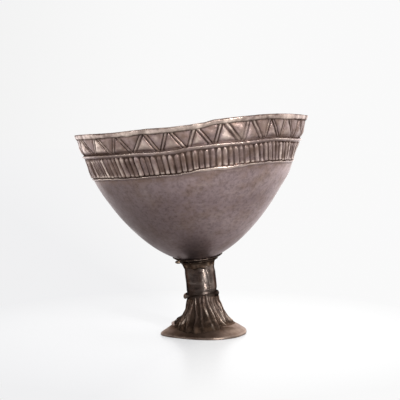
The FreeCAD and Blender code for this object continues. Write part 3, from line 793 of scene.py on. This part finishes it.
def stem_solder(material):
    """The uneven flare of solder at the top of the stem."""
    sheet = Sheet("stem_solder_flare", closed=True)
    angle = even_angles(300)
    foot = STEM_LENGTH - SOLDER_HEIGHT
    ragged = 0.7 * np.sin(2 * angle + 0.4) + 0.4 * np.sin(5 * angle + 2.2) + 0.3 * np.sin(11 * angle)
    for number, (rise, proud) in enumerate(SOLDER_OUTSIDE + SOLDER_INSIDE):
        outer = number < len(SOLDER_OUTSIDE)
        up = foot + rise
        edge = up + (ragged * max(0, 1 - rise / 2.5) if outer else 0)
        points = STEM.ring(STEM_RADIUS + proud, angle, edge)
        lumps = 0.4 * noise(points * [1, 1, 1.6], 3.2, 42) + 0.25 * noise(points, 1.4, 43)
        if outer:
            swell = lumps * ramp(0, 1.8, rise) * (1 - 0.5 * ramp(4, SOLDER_HEIGHT, rise))
            across, back = polar(STEM_RADIUS + proud + swell, angle)
            points = STEM.world(across + stem_bend(up), back, np.minimum(edge, STEM_END))
        sheet.add(points, held(0.45 - 0.9 * lumps), held(0.1 + 0.9 * lumps))
    sheet.finish(["stem_solder"], material)


def solder_drip(material):
    """A small curled drip of solder under the left edge of the seat."""
    low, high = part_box("solder_drip")
    centre = np.array((low + high) / 2) / METRE
    half = np.array(high - low) / 2 / METRE
    sheet = Sheet("solder_drip_curl")
    angle = even_angles(40)
    for tilt in np.linspace(-1, 1, 21):
        ring = math.sqrt(1 - tilt * tilt)
        if ring == 0:
            sheet.add(centre + [0, 0, tilt * half[2]])
            continue
        points = np.stack([ring * np.cos(angle), ring * np.sin(angle), 0 * angle + tilt], axis=-1)
        lump = 1 + 0.16 * noise(points + 9, 0.7, 44)
        curl = np.array([0.35 * (tilt**2 - 0.4), 0, 0])
        sheet.add(centre + (points * lump[:, None] + curl) * half * [1.05, 0.95, 1.0], 0.1, 0.5)
    sheet.finish(["solder_drip"], material)


# Stem and collar


def stem_bend(up):
    """How far the middle of the stem is pushed to the right of a straight axis."""
    return 0.55 * np.sin(held(up / STEM_LENGTH) * math.pi)


def stem(material):
    """The rolled stem, with a lapped seam that wanders, a dent, and a highlight painted down a stretch at
    the front.
    """
    sheet = Sheet("stem_rolled", closed=True)
    angle = even_angles(360)
    front_dents = -0.45 * facing(angle, -118, 24)
    front_bulge = 0.3 * facing(angle, -92, 14)
    for up in [0.0, *np.linspace(0.25, STEM_LENGTH - 0.25, 60), STEM_END]:
        seam = wrapped(angle - turn(-62 + 4 * math.sin(up * 0.21)))
        past = wrapped(angle - turn(-31 + 3 * math.sin(up * 0.3 + 1)))
        lap = ramp(-turn(2.5), turn(1.5), seam) * ramp(turn(2.5), -turn(1.5), past)
        lap = lap * ramp(COLLAR_HEIGHT - 0.4, COLLAR_HEIGHT + 0.8, up)
        lap = lap * ramp(STEM_LENGTH - 2, STEM_LENGTH - 5, up)
        crease = -0.12 * hump(seam, -turn(3.5), turn(2.2)) - 0.2 * hump(past, turn(3.5), turn(2.2))
        pinch = -0.25 * hump(up, 4.6, 0.8) + 0.06 * hump(up, 6.8, 1.6)
        pinch = pinch - 0.25 * hump(up, STEM_LENGTH - 6.5, 1.6)
        dents = front_dents * hump(up, 15, 6) + front_bulge * hump(up, 11, 6)
        hand = layered(STEM.ring(STEM_RADIUS, angle, up), STEM_MARKS)
        radius = STEM_RADIUS - 0.12 + LAP_STEP * lap + crease + pinch + dents + hand
        across, back = polar(radius, angle)
        squash = 1 - 0.02 * np.sin(up / STEM_LENGTH * math.pi)
        ring = STEM.world(across + stem_bend(up), back * squash, up)
        dark = held(1.6 * np.abs(crease) + 0.6 * ramp(6, 4.2, up))
        # A painted highlight: a bright band down the front right, where the key lamp's reflection falls.
        brightening = 0.75 * facing(angle, -73, 12) * hump(up, 13.5, 10) * (1 + 0.9 * noise(ring, 2.6, 54))
        sheet.add(ring, dark, held(0.06 + 1.2 * hand + 0.15 * lap + brightening))
    # The inside of the tube is painted in shade.
    for up in np.linspace(STEM_END, 0, 12):
        across, back = polar(STEM_RADIUS - STEM_SHEET, angle)
        sheet.add(STEM.world(across + stem_bend(up), back, up), 0.8)
    sheet.finish(["stem_tube"], material)


def collar(material):
    """The ring at the foot of the stem: a full roll at the sides, beaten flat at the front."""
    sheet = Sheet("collar_roll", closed=True)
    angle = even_angles(300)
    left = facing(angle, 184, 30)
    right = facing(angle, 358, 26)
    behind = facing(angle, 90, 60)
    swell = 0.05 + 1.65 * left + 1.15 * right + 0.95 * behind
    tall = 0.45 + 1.3 * held(left + behind + 0.75 * right)
    middle = COLLAR_HEIGHT / 2 - 0.25 * left + 0.9 * held(1 - left - right - behind)
    shade = held(0.95 - 0.9 * (left + 0.7 * right))
    for step in even_angles(18):
        out = 0.5 - 0.5 * math.cos(step)
        up = middle - tall * math.sin(step)
        reach = STEM_RADIUS + FILM + 0.2 + swell * out
        lump = layered(STEM.ring(reach, angle, up), COLLAR_MARKS)
        wear_and_sheen = held(0.75 * left + 0.3 * right + lump - 0.1)
        sheet.add(STEM.ring(reach + lump * out, angle, up), shade, wear_and_sheen)
    sheet.finish(["collar_ring"], material)


# Skirt


def flange_top(radius):
    """Height of the base plate's top at a radius."""
    return FOOT_EDGE + (FOOT_RADIUS - radius) * math.tan(FLANGE_SLOPE)


# Ridges of the gathered skirt: degrees at the neck and at the hem, height as a share, half width in degrees
FRONT_RIDGES = [
    (205, 212, 0.7, 3.6), (213, 220, 0.8, 3.2), (221, 229, 0.75, 3.4), (231, 238, 0.9, 3.6),
    (243, 254, 0.85, 3.6), (259.5, 267.5, 0.9, 3.6), (272.5, 282, 0.8, 4.8), (286, 294.5, 1.05, 3.6),
    (296, 304, 0.6, 3.0), (305.5, 315, 0.85, 3.8), (318, 326, 0.7, 3.6), (331, 337, 0.85, 4.0),
    (345, 350, 0.8, 4.0),
]
# The hem's reach from the skirt's middle: degrees and millimetres
HEM_REACH = [
    (165, 20.6), (182, 22.5), (200, 26.8), (217, 28.4), (235, 28.8), (254, 29), (270, 28.2), (287, 26.6),
    (300, 24), (311, 21.6), (335, 20.3), (0, 20.3), (40, 22), (90, 24), (140, 22.5),
]
# The cone of the skirt between its neck and its knee: height and radius
SKIRT_PROFILE = [(6, 19.4), (9.3, 17.5), (12.2, 16.9), (15.8, 15.4), (19.4, 13.8), (23, 12.3), (25.5, 11.7)]


def ridges():
    """Every ridge of the skirt: the measured ones at the front and even ones behind."""
    rng = np.random.default_rng(61)
    rows = list(FRONT_RIDGES)
    count = 14
    for index in range(count):
        neck = 355 + 206 / count * index + rng.uniform(-2.5, 2.5)
        rows.append((neck, neck + rng.uniform(-4, 6), rng.uniform(0.6, 1.0), rng.uniform(3, 4.6)))
    return np.array(rows)


RIDGES = ridges()


def fold_height(angle, share):
    """Height of the folds from 0 in a groove to about 1 on a ridge, at a share of the way down."""
    neck, hem, height, wide = RIDGES.T
    rng = np.random.default_rng(62)
    start, speed = rng.uniform(0, TAU, len(neck)), rng.uniform(3, 7, len(neck))
    middle = np.radians(neck + (hem - neck) * share) + turn(1.7) * np.sin(start + speed * share)
    spread = np.radians(wide) * (1.15 - 0.15 * share)
    away = wrapped(angle[:, None] - middle[None, :])
    lean = 1 + 0.35 * np.sin(start * 3) * np.sign(away)
    swell = height * (0.78 + 0.22 * np.sin(start * 2 + 6 * share))
    return (swell * np.exp(-np.abs(away / spread / lean) ** 1.7)).max(axis=1)


def skirt_ring(angle, share, inward):
    """A ring of the skirt at a share of the way from the neck to the hem."""
    hem = around(angle, HEM_REACH)
    front = ramp(20.5, 26.5, hem)
    heights, radii = zip(*SKIRT_PROFILE)
    level = SKIRT_HEIGHT * (1 - share) + heights[0] * share
    cone = np.interp(level, heights, radii)
    straight = NECK_RADIUS + (hem - NECK_RADIUS) * (0.12 * share + 0.88 * share**1.25)
    low = ramp(0.55, 1.0, share)
    crest = (cone + (hem - cone) * low**1.6) * (1 - front) + straight * front
    depth = (0.9 + 2.3 * ramp(0, 0.7, share)) * (1 - 0.35 * ramp(0.85, 1, share))
    height = fold_height(angle, share)
    radius = crest - inward - depth * (1 - height) * (1 - 0.25 * front * low)
    across, back = polar(radius, angle)
    rest = flange_top(np.hypot(skirt_centre(5) + across, back)) + FILM
    rest = rest + 0.4 * (SKIRT_SHEET - inward) * ramp(0.97, 0.9, share)
    level = np.maximum(level, rest + 0.9 * ramp(1, 0.7, share))
    level = level + (rest - level) * ramp(0.9, 1, share)
    lift = 1.3 * facing(angle, 176, 12) * ramp(0.85, 1, share)
    slant = math.tan(STEM_LEAN) * (across + STEM_SHIFT) * ramp(0.12, 0, share)
    slant = slant + 2.3 * facing(angle, 272, 40) * ramp(0.1, 0, share)
    points = np.stack([skirt_centre(level) + across, back, level + slant + lift], axis=-1)
    return points, height


def skirt(material):
    """The gathered skirt, worn on its ridges with painted glints, dark in its grooves, and painted in shade
    at its hem.
    """
    sheet = Sheet("foot_skirt_gathered", closed=True)
    angle = even_angles(720)
    calm = 1 - 0.4 * facing(angle, 318, 30)
    shares = [0, 0.02, *np.linspace(0.05, 0.98, 54), 1.0]
    for share in shares:
        points, height = skirt_ring(angle, share, 0)
        hand = layered(points, SKIRT_MARKS) + 0.4 * noise(points * [1, 1, 0.25], 1.9, 66)
        points = points + outward(angle) * (hand * ramp(0, 0.1, share) * ramp(1.02, 0.9, share))[:, None]
        # Glints painted onto the ridges, mixed into the wear.
        glint = noise(points * [1, 1, 0.35], 3.4, 65)
        wear_and_sheen = held(1.5 * height - 1.0 + 1.1 * glint + hand) * ramp(1.0, 0.85, share)
        # Painted shade along the hem and over the lower front.
        toe = 0.8 * ramp(0.8, 0.97, share) + facing(angle, 256, 14) * ramp(0.6, 0.85, share)
        grime_and_shade = held(1.35 - 1.9 * height + 0.5 * ramp(0.05, 0.0, share) + toe)
        sheet.add(points, grime_and_shade * calm, wear_and_sheen * calm, ramp(0.75, 1, share))
    # The inside of the skirt is painted in shade.
    for share in shares[::-3]:
        points, height = skirt_ring(angle, share, SKIRT_SHEET)
        sheet.add(points, 0.8)
    sheet.finish(["foot_skirt"], material)


# How far the edge of the base plate lies outside a true circle: degrees and millimetres
FLANGE_GROWTH = [
    (110, 0), (138, -2.0), (158, -4.2), (177, -3.4), (190, -1.2), (200, 1.3), (209, 2.3), (220, 1.5),
    (235, 0.2), (255, 0.5), (275, 1.7), (295, 2.4), (315, 1.8), (335, 0.6), (350, 0.1),
]


def flange_section():
    """Radius and height round the section of the base plate, with the count of its outer points."""
    section = [
        (FOOT_RADIUS - 0.35, 0.0), (FOOT_RADIUS - 0.08, 0.12), (FOOT_RADIUS, 0.4), (FOOT_RADIUS, 0.9),
        (FOOT_RADIUS - 0.12, 1.25), (FOOT_RADIUS - 0.5, 1.6),
    ]
    for step in (0.06, 0.1, 0.15, 0.2, 0.26, 0.33, 0.4, 0.48, 0.57, 0.67, 0.78, 0.9, 1.0):
        radius = FOOT_RADIUS - FLANGE_WIDTH * step
        section.append((radius, flange_top(radius)))
    outer_count = len(section)
    band = FOOT_RADIUS - FOOT_BAND
    for step in (1.0, 0.75, 0.5, 0.25, 0.0):
        radius = band + (FLANGE_INNER - band) * step
        section.append((radius, flange_top(radius) - FLANGE_SHEET / math.cos(FLANGE_SLOPE)))
    return section + [(band, 0.1), (band + 0.15, 0.0)], outer_count


def flange(material):
    """The conical base plate on its thickened edge."""
    sheet = Sheet("foot_plate", closed=True)
    angle = even_angles(480)
    peak = flange_top(FLANGE_INNER)
    ripple = 0.35 * np.sin(2 * angle + 2.2) + 0.2 * np.sin(5 * angle + 1)
    grow = around(angle, FLANGE_GROWTH)
    # Darker at the front, on the top face and along the bottom edge.
    darkening = 1.1 * facing(angle, 256, 34)
    section, outer_count = flange_section()
    for number, (radius, up) in enumerate(section):
        across, back = polar(radius + grow * ramp(FLANGE_INNER, FOOT_RADIUS, radius), angle)
        points = np.stack([across, back, up + 0 * angle], axis=-1)
        hand = layered(points, PLATE_MARKS)
        if 3 <= number < outer_count:
            share = ramp(0, 3, FOOT_RADIUS - radius) * ramp(peak, peak - 3, up)
            points[:, 2] += (hand + 0.6 * ripple) * share
        if number < 5:
            points[:, :2] *= (1 + (0.25 * noise(points, 9, 73) - 0.15) / FOOT_RADIUS)[:, None]
        wear_and_sheen = 0.15 + hand
        if number < 7:
            wear_and_sheen = ramp(1.3, 0.5, FOOT_RADIUS - radius) * (0.5 + 1.5 * hand)
        grime_and_shade = 0.5 * ramp(0.3, 0.0, up) + 0.6 * ramp(FOOT_RADIUS - 4, HEM_RADIUS - 2, radius)
        grime_and_shade = held(grime_and_shade + darkening * (number > 3 or number < 2))
        sheet.add(points, grime_and_shade, held(wear_and_sheen), 1)
    sheet.finish(["foot_flange"], material)


# Materials

# Places of the mix node's colour sockets
MIX_FIRST, MIX_SECOND, MIX_RESULT = 6, 7, 2


class Nodes:
    """A node tree that grows node by node."""

    def __init__(self, tree):
        self.tree = tree

    def feed(self, node, sockets):
        """Gives each of these sockets of a node a value or a link."""
        for socket, value in sockets.items():
            if isinstance(value, bpy.types.NodeSocket):
                self.tree.links.new(value, node.inputs[socket])
            else:
                node.inputs[socket].default_value = value

    def node(self, kind, sockets=None, **settings):
        made = self.tree.nodes.new(kind)
        for key, value in settings.items():
            setattr(made, key, value)
        self.feed(made, sockets or {})
        return made

    def span(self, value, low, high, start=0.0, end=1.0, **settings):
        """Moves a value's range from low and high to start and end, held at both."""
        sockets = {"Value": value, "From Min": low, "From Max": high, "To Min": start, "To Max": end}
        return self.node("ShaderNodeMapRange", sockets, clamp=True, **settings).outputs["Result"]

    def math(self, operation, first, second):
        return self.node("ShaderNodeMath", {0: first, 1: second}, operation=operation).outputs[0]

    def times(self, first, second):
        return self.math("MULTIPLY", first, second)

    def axes(self, coordinate):
        return self.node("ShaderNodeSeparateXYZ", {0: coordinate}).outputs


class Shader(Nodes):
    """The nodes of a Principled material."""

    def __init__(self, name):
        self.material = bpy.data.materials.new(name)
        self.material.use_nodes = True
        super().__init__(self.material.node_tree)
        self.surface = self.tree.nodes["Principled BSDF"]
        self.coordinate = self.node("ShaderNodeTexCoord").outputs["Object"]

    def noise(self, scale, detail, rough, stretch=None):
        place = self.coordinate
        if stretch:
            place = self.node("ShaderNodeMapping", {"Vector": place, "Scale": stretch}).outputs[0]
        sockets = {"Vector": place, "Scale": scale, "Detail": detail, "Roughness": rough}
        return self.node("ShaderNodeTexNoise", sockets).outputs["Fac"]

    def mark(self, name):
        """A mark that the mesh carries."""
        return self.node("ShaderNodeAttribute", attribute_name=name).outputs["Fac"]

    def mix(self, share, first, second):
        """A colour between two, each a colour or a socket."""
        ends = [end if isinstance(end, bpy.types.NodeSocket) else (*end, 1) for end in (first, second)]
        sockets = {0: share, MIX_FIRST: ends[0], MIX_SECOND: ends[1]}
        return self.node("ShaderNodeMix", sockets, data_type="RGBA").outputs[MIX_RESULT]


def low_left_shade(shader, broad):
    """Where shade is painted on the lower left of the body, below the border."""
    axes = shader.axes(shader.coordinate)
    slant = shader.math("ADD", axes[0], axes[2])
    slant = shader.math("ADD", slant, shader.times(broad, 0.03))
    low_left = shader.span(slant, 0.03, 0.12, 0.95, 0.0)
    return shader.times(low_left, shader.span(axes[2], 0.108, 0.13, 1.0, 0.0))


def silver(name, plain, dull, warm, bright, dirt_and_shade, rough, bump, edge, shade_colour=None):
    """Old silver: blotches of tarnish, dirt in the hollows with painted shade, bare metal where hands wore
    it with painted sheen, and for the bowl painted shade at the lower left.
    """
    shader = Shader(name)
    mix, span, times = shader.mix, shader.span, shader.times
    broad = shader.noise(22, 3, 0.55)
    blotch = shader.noise(75, 5, 0.62)
    patch = shader.noise(160, 4, 0.6)
    speck = shader.noise(420, 4, 0.65)
    streak = shader.noise(60, 4, 0.6, (1, 1, 0.35))
    scratch = shader.noise(240, 3, 0.7, (0.2, 0.2, 1.8))
    colour = mix(span(broad, 0.42, 0.6), plain, dull)
    stains = [
        (blotch, 0.47, 0.7, 0.7, warm),
        (streak, 0.52, 0.75, 0.14, bright),
        (scratch, 0.55, 0.72, 0.12, bright),
        (speck, 0.45, 0.68, 0.4, dirt_and_shade),
        (patch, 0.55, 0.72, 0.3, warm),
    ]
    for where, low, high, strength, stain in stains:
        colour = mix(times(span(where, low, high), strength), colour, stain)
    # Painted shade on the lower left of the bowl.
    if shade_colour:
        colour = mix(low_left_shade(shader, broad), colour, shade_colour)
    grime = times(shader.mark("tone"), span(patch, 0.35, 0.6, 0.15, 0.7))
    colour = mix(grime, colour, warm)
    colour = mix(times(grime, 0.42), colour, dirt_and_shade)
    # Bare metal where worn, and painted sheen, in the bright colour.
    wear_and_sheen = times(shader.mark("wear_and_sheen"), span(blotch, 0.32, 0.6, 0.3, 1.0))
    wear_and_sheen = times(wear_and_sheen, span(speck, 0.35, 0.6, 0.5, 1.0))
    colour = mix(wear_and_sheen, colour, bright)
    # Dirt in the hollows and painted shade, in the dark colour.
    grime_and_shade = times(shader.mark("grime_and_shade"), span(patch, 0.3, 0.65, 1.0, 0.65))
    colour = mix(grime_and_shade, colour, dirt_and_shade)
    pit = span(shader.noise(900, 2, 0.5), 0.68, 0.8)
    gloss = span(blotch, 0.3, 0.7, rough - 0.06, rough + 0.1)
    gloss = shader.math("ADD", gloss, times(grime_and_shade, 0.3))
    height = shader.math("ADD", times(speck, 0.5), blotch)
    height = shader.math("SUBTRACT", height, times(pit, 0.3))
    relief = shader.node("ShaderNodeBump", {"Height": height, "Strength": bump, "Distance": 0.0006})
    sockets = {
        "Base Color": mix(times(pit, 0.6), colour, dirt_and_shade),
        "Metallic": 0.92,
        "Roughness": shader.math("SUBTRACT", gloss, times(wear_and_sheen, 0.14)),
        "Specular IOR Level": 0.3,
        "Specular Tint": mix(grime_and_shade, edge, dirt_and_shade),
        "Normal": relief.outputs[0],
    }
    shader.feed(shader.surface, sockets)
    return shader.material


# Colours of each silver: plain, dull, warm, bright, and one dark colour for dirt and painted shade. Then
# its roughness, its bump, the tint of its edges and, for the bowl, the colour of the shade painted at its
# lower left
BOWL_SILVER = silver(
    "bowl_silver", (0.288, 0.218, 0.219), (0.222, 0.163, 0.164), (0.192, 0.127, 0.1), (0.62, 0.51, 0.44),
    (0.03, 0.017, 0.011), 0.37, 0.4, (1, 0.94, 0.94), (0.065, 0.045, 0.042),
)
STEM_SILVER = silver(
    "stem_silver", (0.04, 0.028, 0.024), (0.026, 0.02, 0.018), (0.06, 0.032, 0.02), (0.42, 0.35, 0.31),
    (0.012, 0.008, 0.006), 0.24, 0.5, (0.25, 0.2, 0.17),
)
FOOT_SILVER = silver(
    "foot_silver", (0.09, 0.063, 0.053), (0.062, 0.044, 0.036), (0.095, 0.058, 0.037), (0.56, 0.46, 0.39),
    (0.015, 0.009, 0.006), 0.4, 0.45, (0.45, 0.36, 0.3),
)
PLATE_SILVER = silver(
    "plate_silver", (0.12, 0.083, 0.075), (0.084, 0.057, 0.049), (0.112, 0.072, 0.052), (0.4, 0.32, 0.27),
    (0.03, 0.018, 0.012), 0.42, 0.4, (0.8, 0.7, 0.65),
)
SOLDER = silver(
    "old_solder", (0.06, 0.041, 0.032), (0.042, 0.031, 0.025), (0.1, 0.055, 0.03), (0.33, 0.25, 0.19),
    (0.02, 0.012, 0.008), 0.34, 0.6, (0.3, 0.24, 0.2),
)

bowl(BOWL_SILVER)
rim_strip(BOWL_SILVER)
seat(STEM_SILVER)
stem_solder(SOLDER)
solder_drip(SOLDER)
stem(STEM_SILVER)
collar(STEM_SILVER)
skirt(FOOT_SILVER)
flange(PLATE_SILVER)
for node, material in (("foot_solder", PLATE_SILVER), ("seat_solder", SOLDER)):
    kept = frame["nodes"][node]
    kept.data.materials.clear()
    kept.data.materials.append(material)

# Stage, light and camera

BACKDROP = (0.95, 0.95, 0.95)
SHADED_BACKDROP = (0.87, 0.87, 0.88)
FLOOR_REACH = 6.0


def stage_material():
    """A lit floor that keeps the shadow and passes into the even tone of the backdrop further out."""
    shader = Shader("studio_floor")
    sockets = {"Base Color": (0.405, 0.405, 0.41, 1), "Roughness": 0.3, "Specular IOR Level": 0.4}
    shader.feed(shader.surface, sockets)
    axes = shader.axes(shader.coordinate)
    flat = shader.node("ShaderNodeCombineXYZ", {0: axes[0], 1: axes[1]})
    far = shader.node("ShaderNodeVectorMath", {0: flat.outputs[0]}, operation="LENGTH").outputs["Value"]
    share = shader.span(far, 0.03, 0.2, 0.5, 1.0)
    side = shader.span(shader.math("DIVIDE", axes[0], far), -0.3, 0.0)
    tone = shader.mix(side, SHADED_BACKDROP, BACKDROP)
    seen = shader.node("ShaderNodeLightPath").outputs["Is Camera Ray"]
    unseen = shader.times(shader.math("SUBTRACT", 1.0, seen), shader.span(far, 0.12, 0.6, 0.82, 2.2))
    strength = shader.math("ADD", seen, unseen)
    glow = shader.node("ShaderNodeEmission", {"Color": tone, "Strength": strength})
    blend = shader.node("ShaderNodeMixShader", {0: share, 1: shader.surface.outputs[0], 2: glow.outputs[0]})
    shader.feed(shader.tree.nodes["Material Output"], {"Surface": blend.outputs[0]})
    return shader.material


def stage():
    mesh = bpy.data.meshes.new("studio_floor")
    corners = [(-1, -1, 0), (1, -1, 0), (1, 1, 0), (-1, 1, 0)]
    mesh.from_pydata(np.array(corners) * FLOOR_REACH, [], [(0, 1, 2, 3)])
    floor = placed("studio_floor", mesh)
    mesh.materials.append(stage_material())


def world():
    """Bright surroundings behind and at the right, and a darker room behind the viewer and at the left."""
    made = bpy.data.worlds.new("studio")
    bpy.context.scene.world = made
    made.use_nodes = True
    nodes = Nodes(made.node_tree)
    smooth = {"interpolation_type": "SMOOTHSTEP"}
    axes = nodes.axes(nodes.node("ShaderNodeTexCoord").outputs["Generated"])
    behind = nodes.span(axes["Y"], -0.4, 0.5, 0.06, 1.8, **smooth)
    sideways = nodes.span(axes["X"], -0.6, 0.7, 0.9, 1.8, **smooth)
    backdrop = nodes.span(axes["X"], -0.3, 0.0, SHADED_BACKDROP[0], BACKDROP[0], **smooth)
    seen = nodes.node("ShaderNodeLightPath").outputs["Is Camera Ray"]
    sockets = {0: seen, 2: nodes.times(behind, sideways), 3: backdrop}
    strength = nodes.node("ShaderNodeMix", sockets, data_type="FLOAT").outputs[0]
    nodes.feed(nodes.tree.nodes["Background"], {"Color": (1, 1, 1, 1), "Strength": strength})


def softbox(name, azimuth, elevation, distance, width, height, watts):
    """A soft lamp that looks at the bowl. Azimuth 0 is the viewer's side and grows to the right."""
    lamp = bpy.data.lights.new(name, "AREA")
    lamp.shape = "RECTANGLE"
    lamp.size = width
    lamp.size_y = height
    lamp.energy = watts
    holder = placed(name, lamp)
    side, rise = turn(azimuth), turn(elevation)
    out = Vector((math.sin(side) * math.cos(rise), -math.cos(side) * math.cos(rise), math.sin(rise)))
    holder.location = Vector((0, 0, 0.08)) + out * distance
    holder.rotation_euler = (-out).to_track_quat("-Z", "Y").to_euler()


def camera():
    """The photograph's view: nearly level with the rim and tipped down a little."""
    made = bpy.data.cameras.new("camera")
    focal_pixels, frame_pixels = 1090, 400
    horizon_pixel, axis_pixel = 125, 204
    made.sensor_width = 36
    made.lens = made.sensor_width * focal_pixels / frame_pixels
    holder = placed("camera", made)
    holder.location = (0.0003, -0.782, 0.1494)
    down = math.atan((frame_pixels / 2 - horizon_pixel) / focal_pixels)
    aside = math.atan((axis_pixel - frame_pixels / 2) / focal_pixels)
    holder.rotation_euler = (math.pi / 2 - down, 0, aside)
    bpy.context.scene.camera = holder


stage()
world()
softbox("key_right", 34, 18, 1.4, 0.08, 0.95, 26)
softbox("top", 20, 74, 1.5, 0.5, 0.5, 7)
softbox("front_top", -6, 46, 1.4, 0.4, 0.25, 7)
softbox("left_top", -54, 30, 1.4, 0.2, 0.3, 7)
camera()
bpy.context.scene.view_settings.view_transform = "Standard"
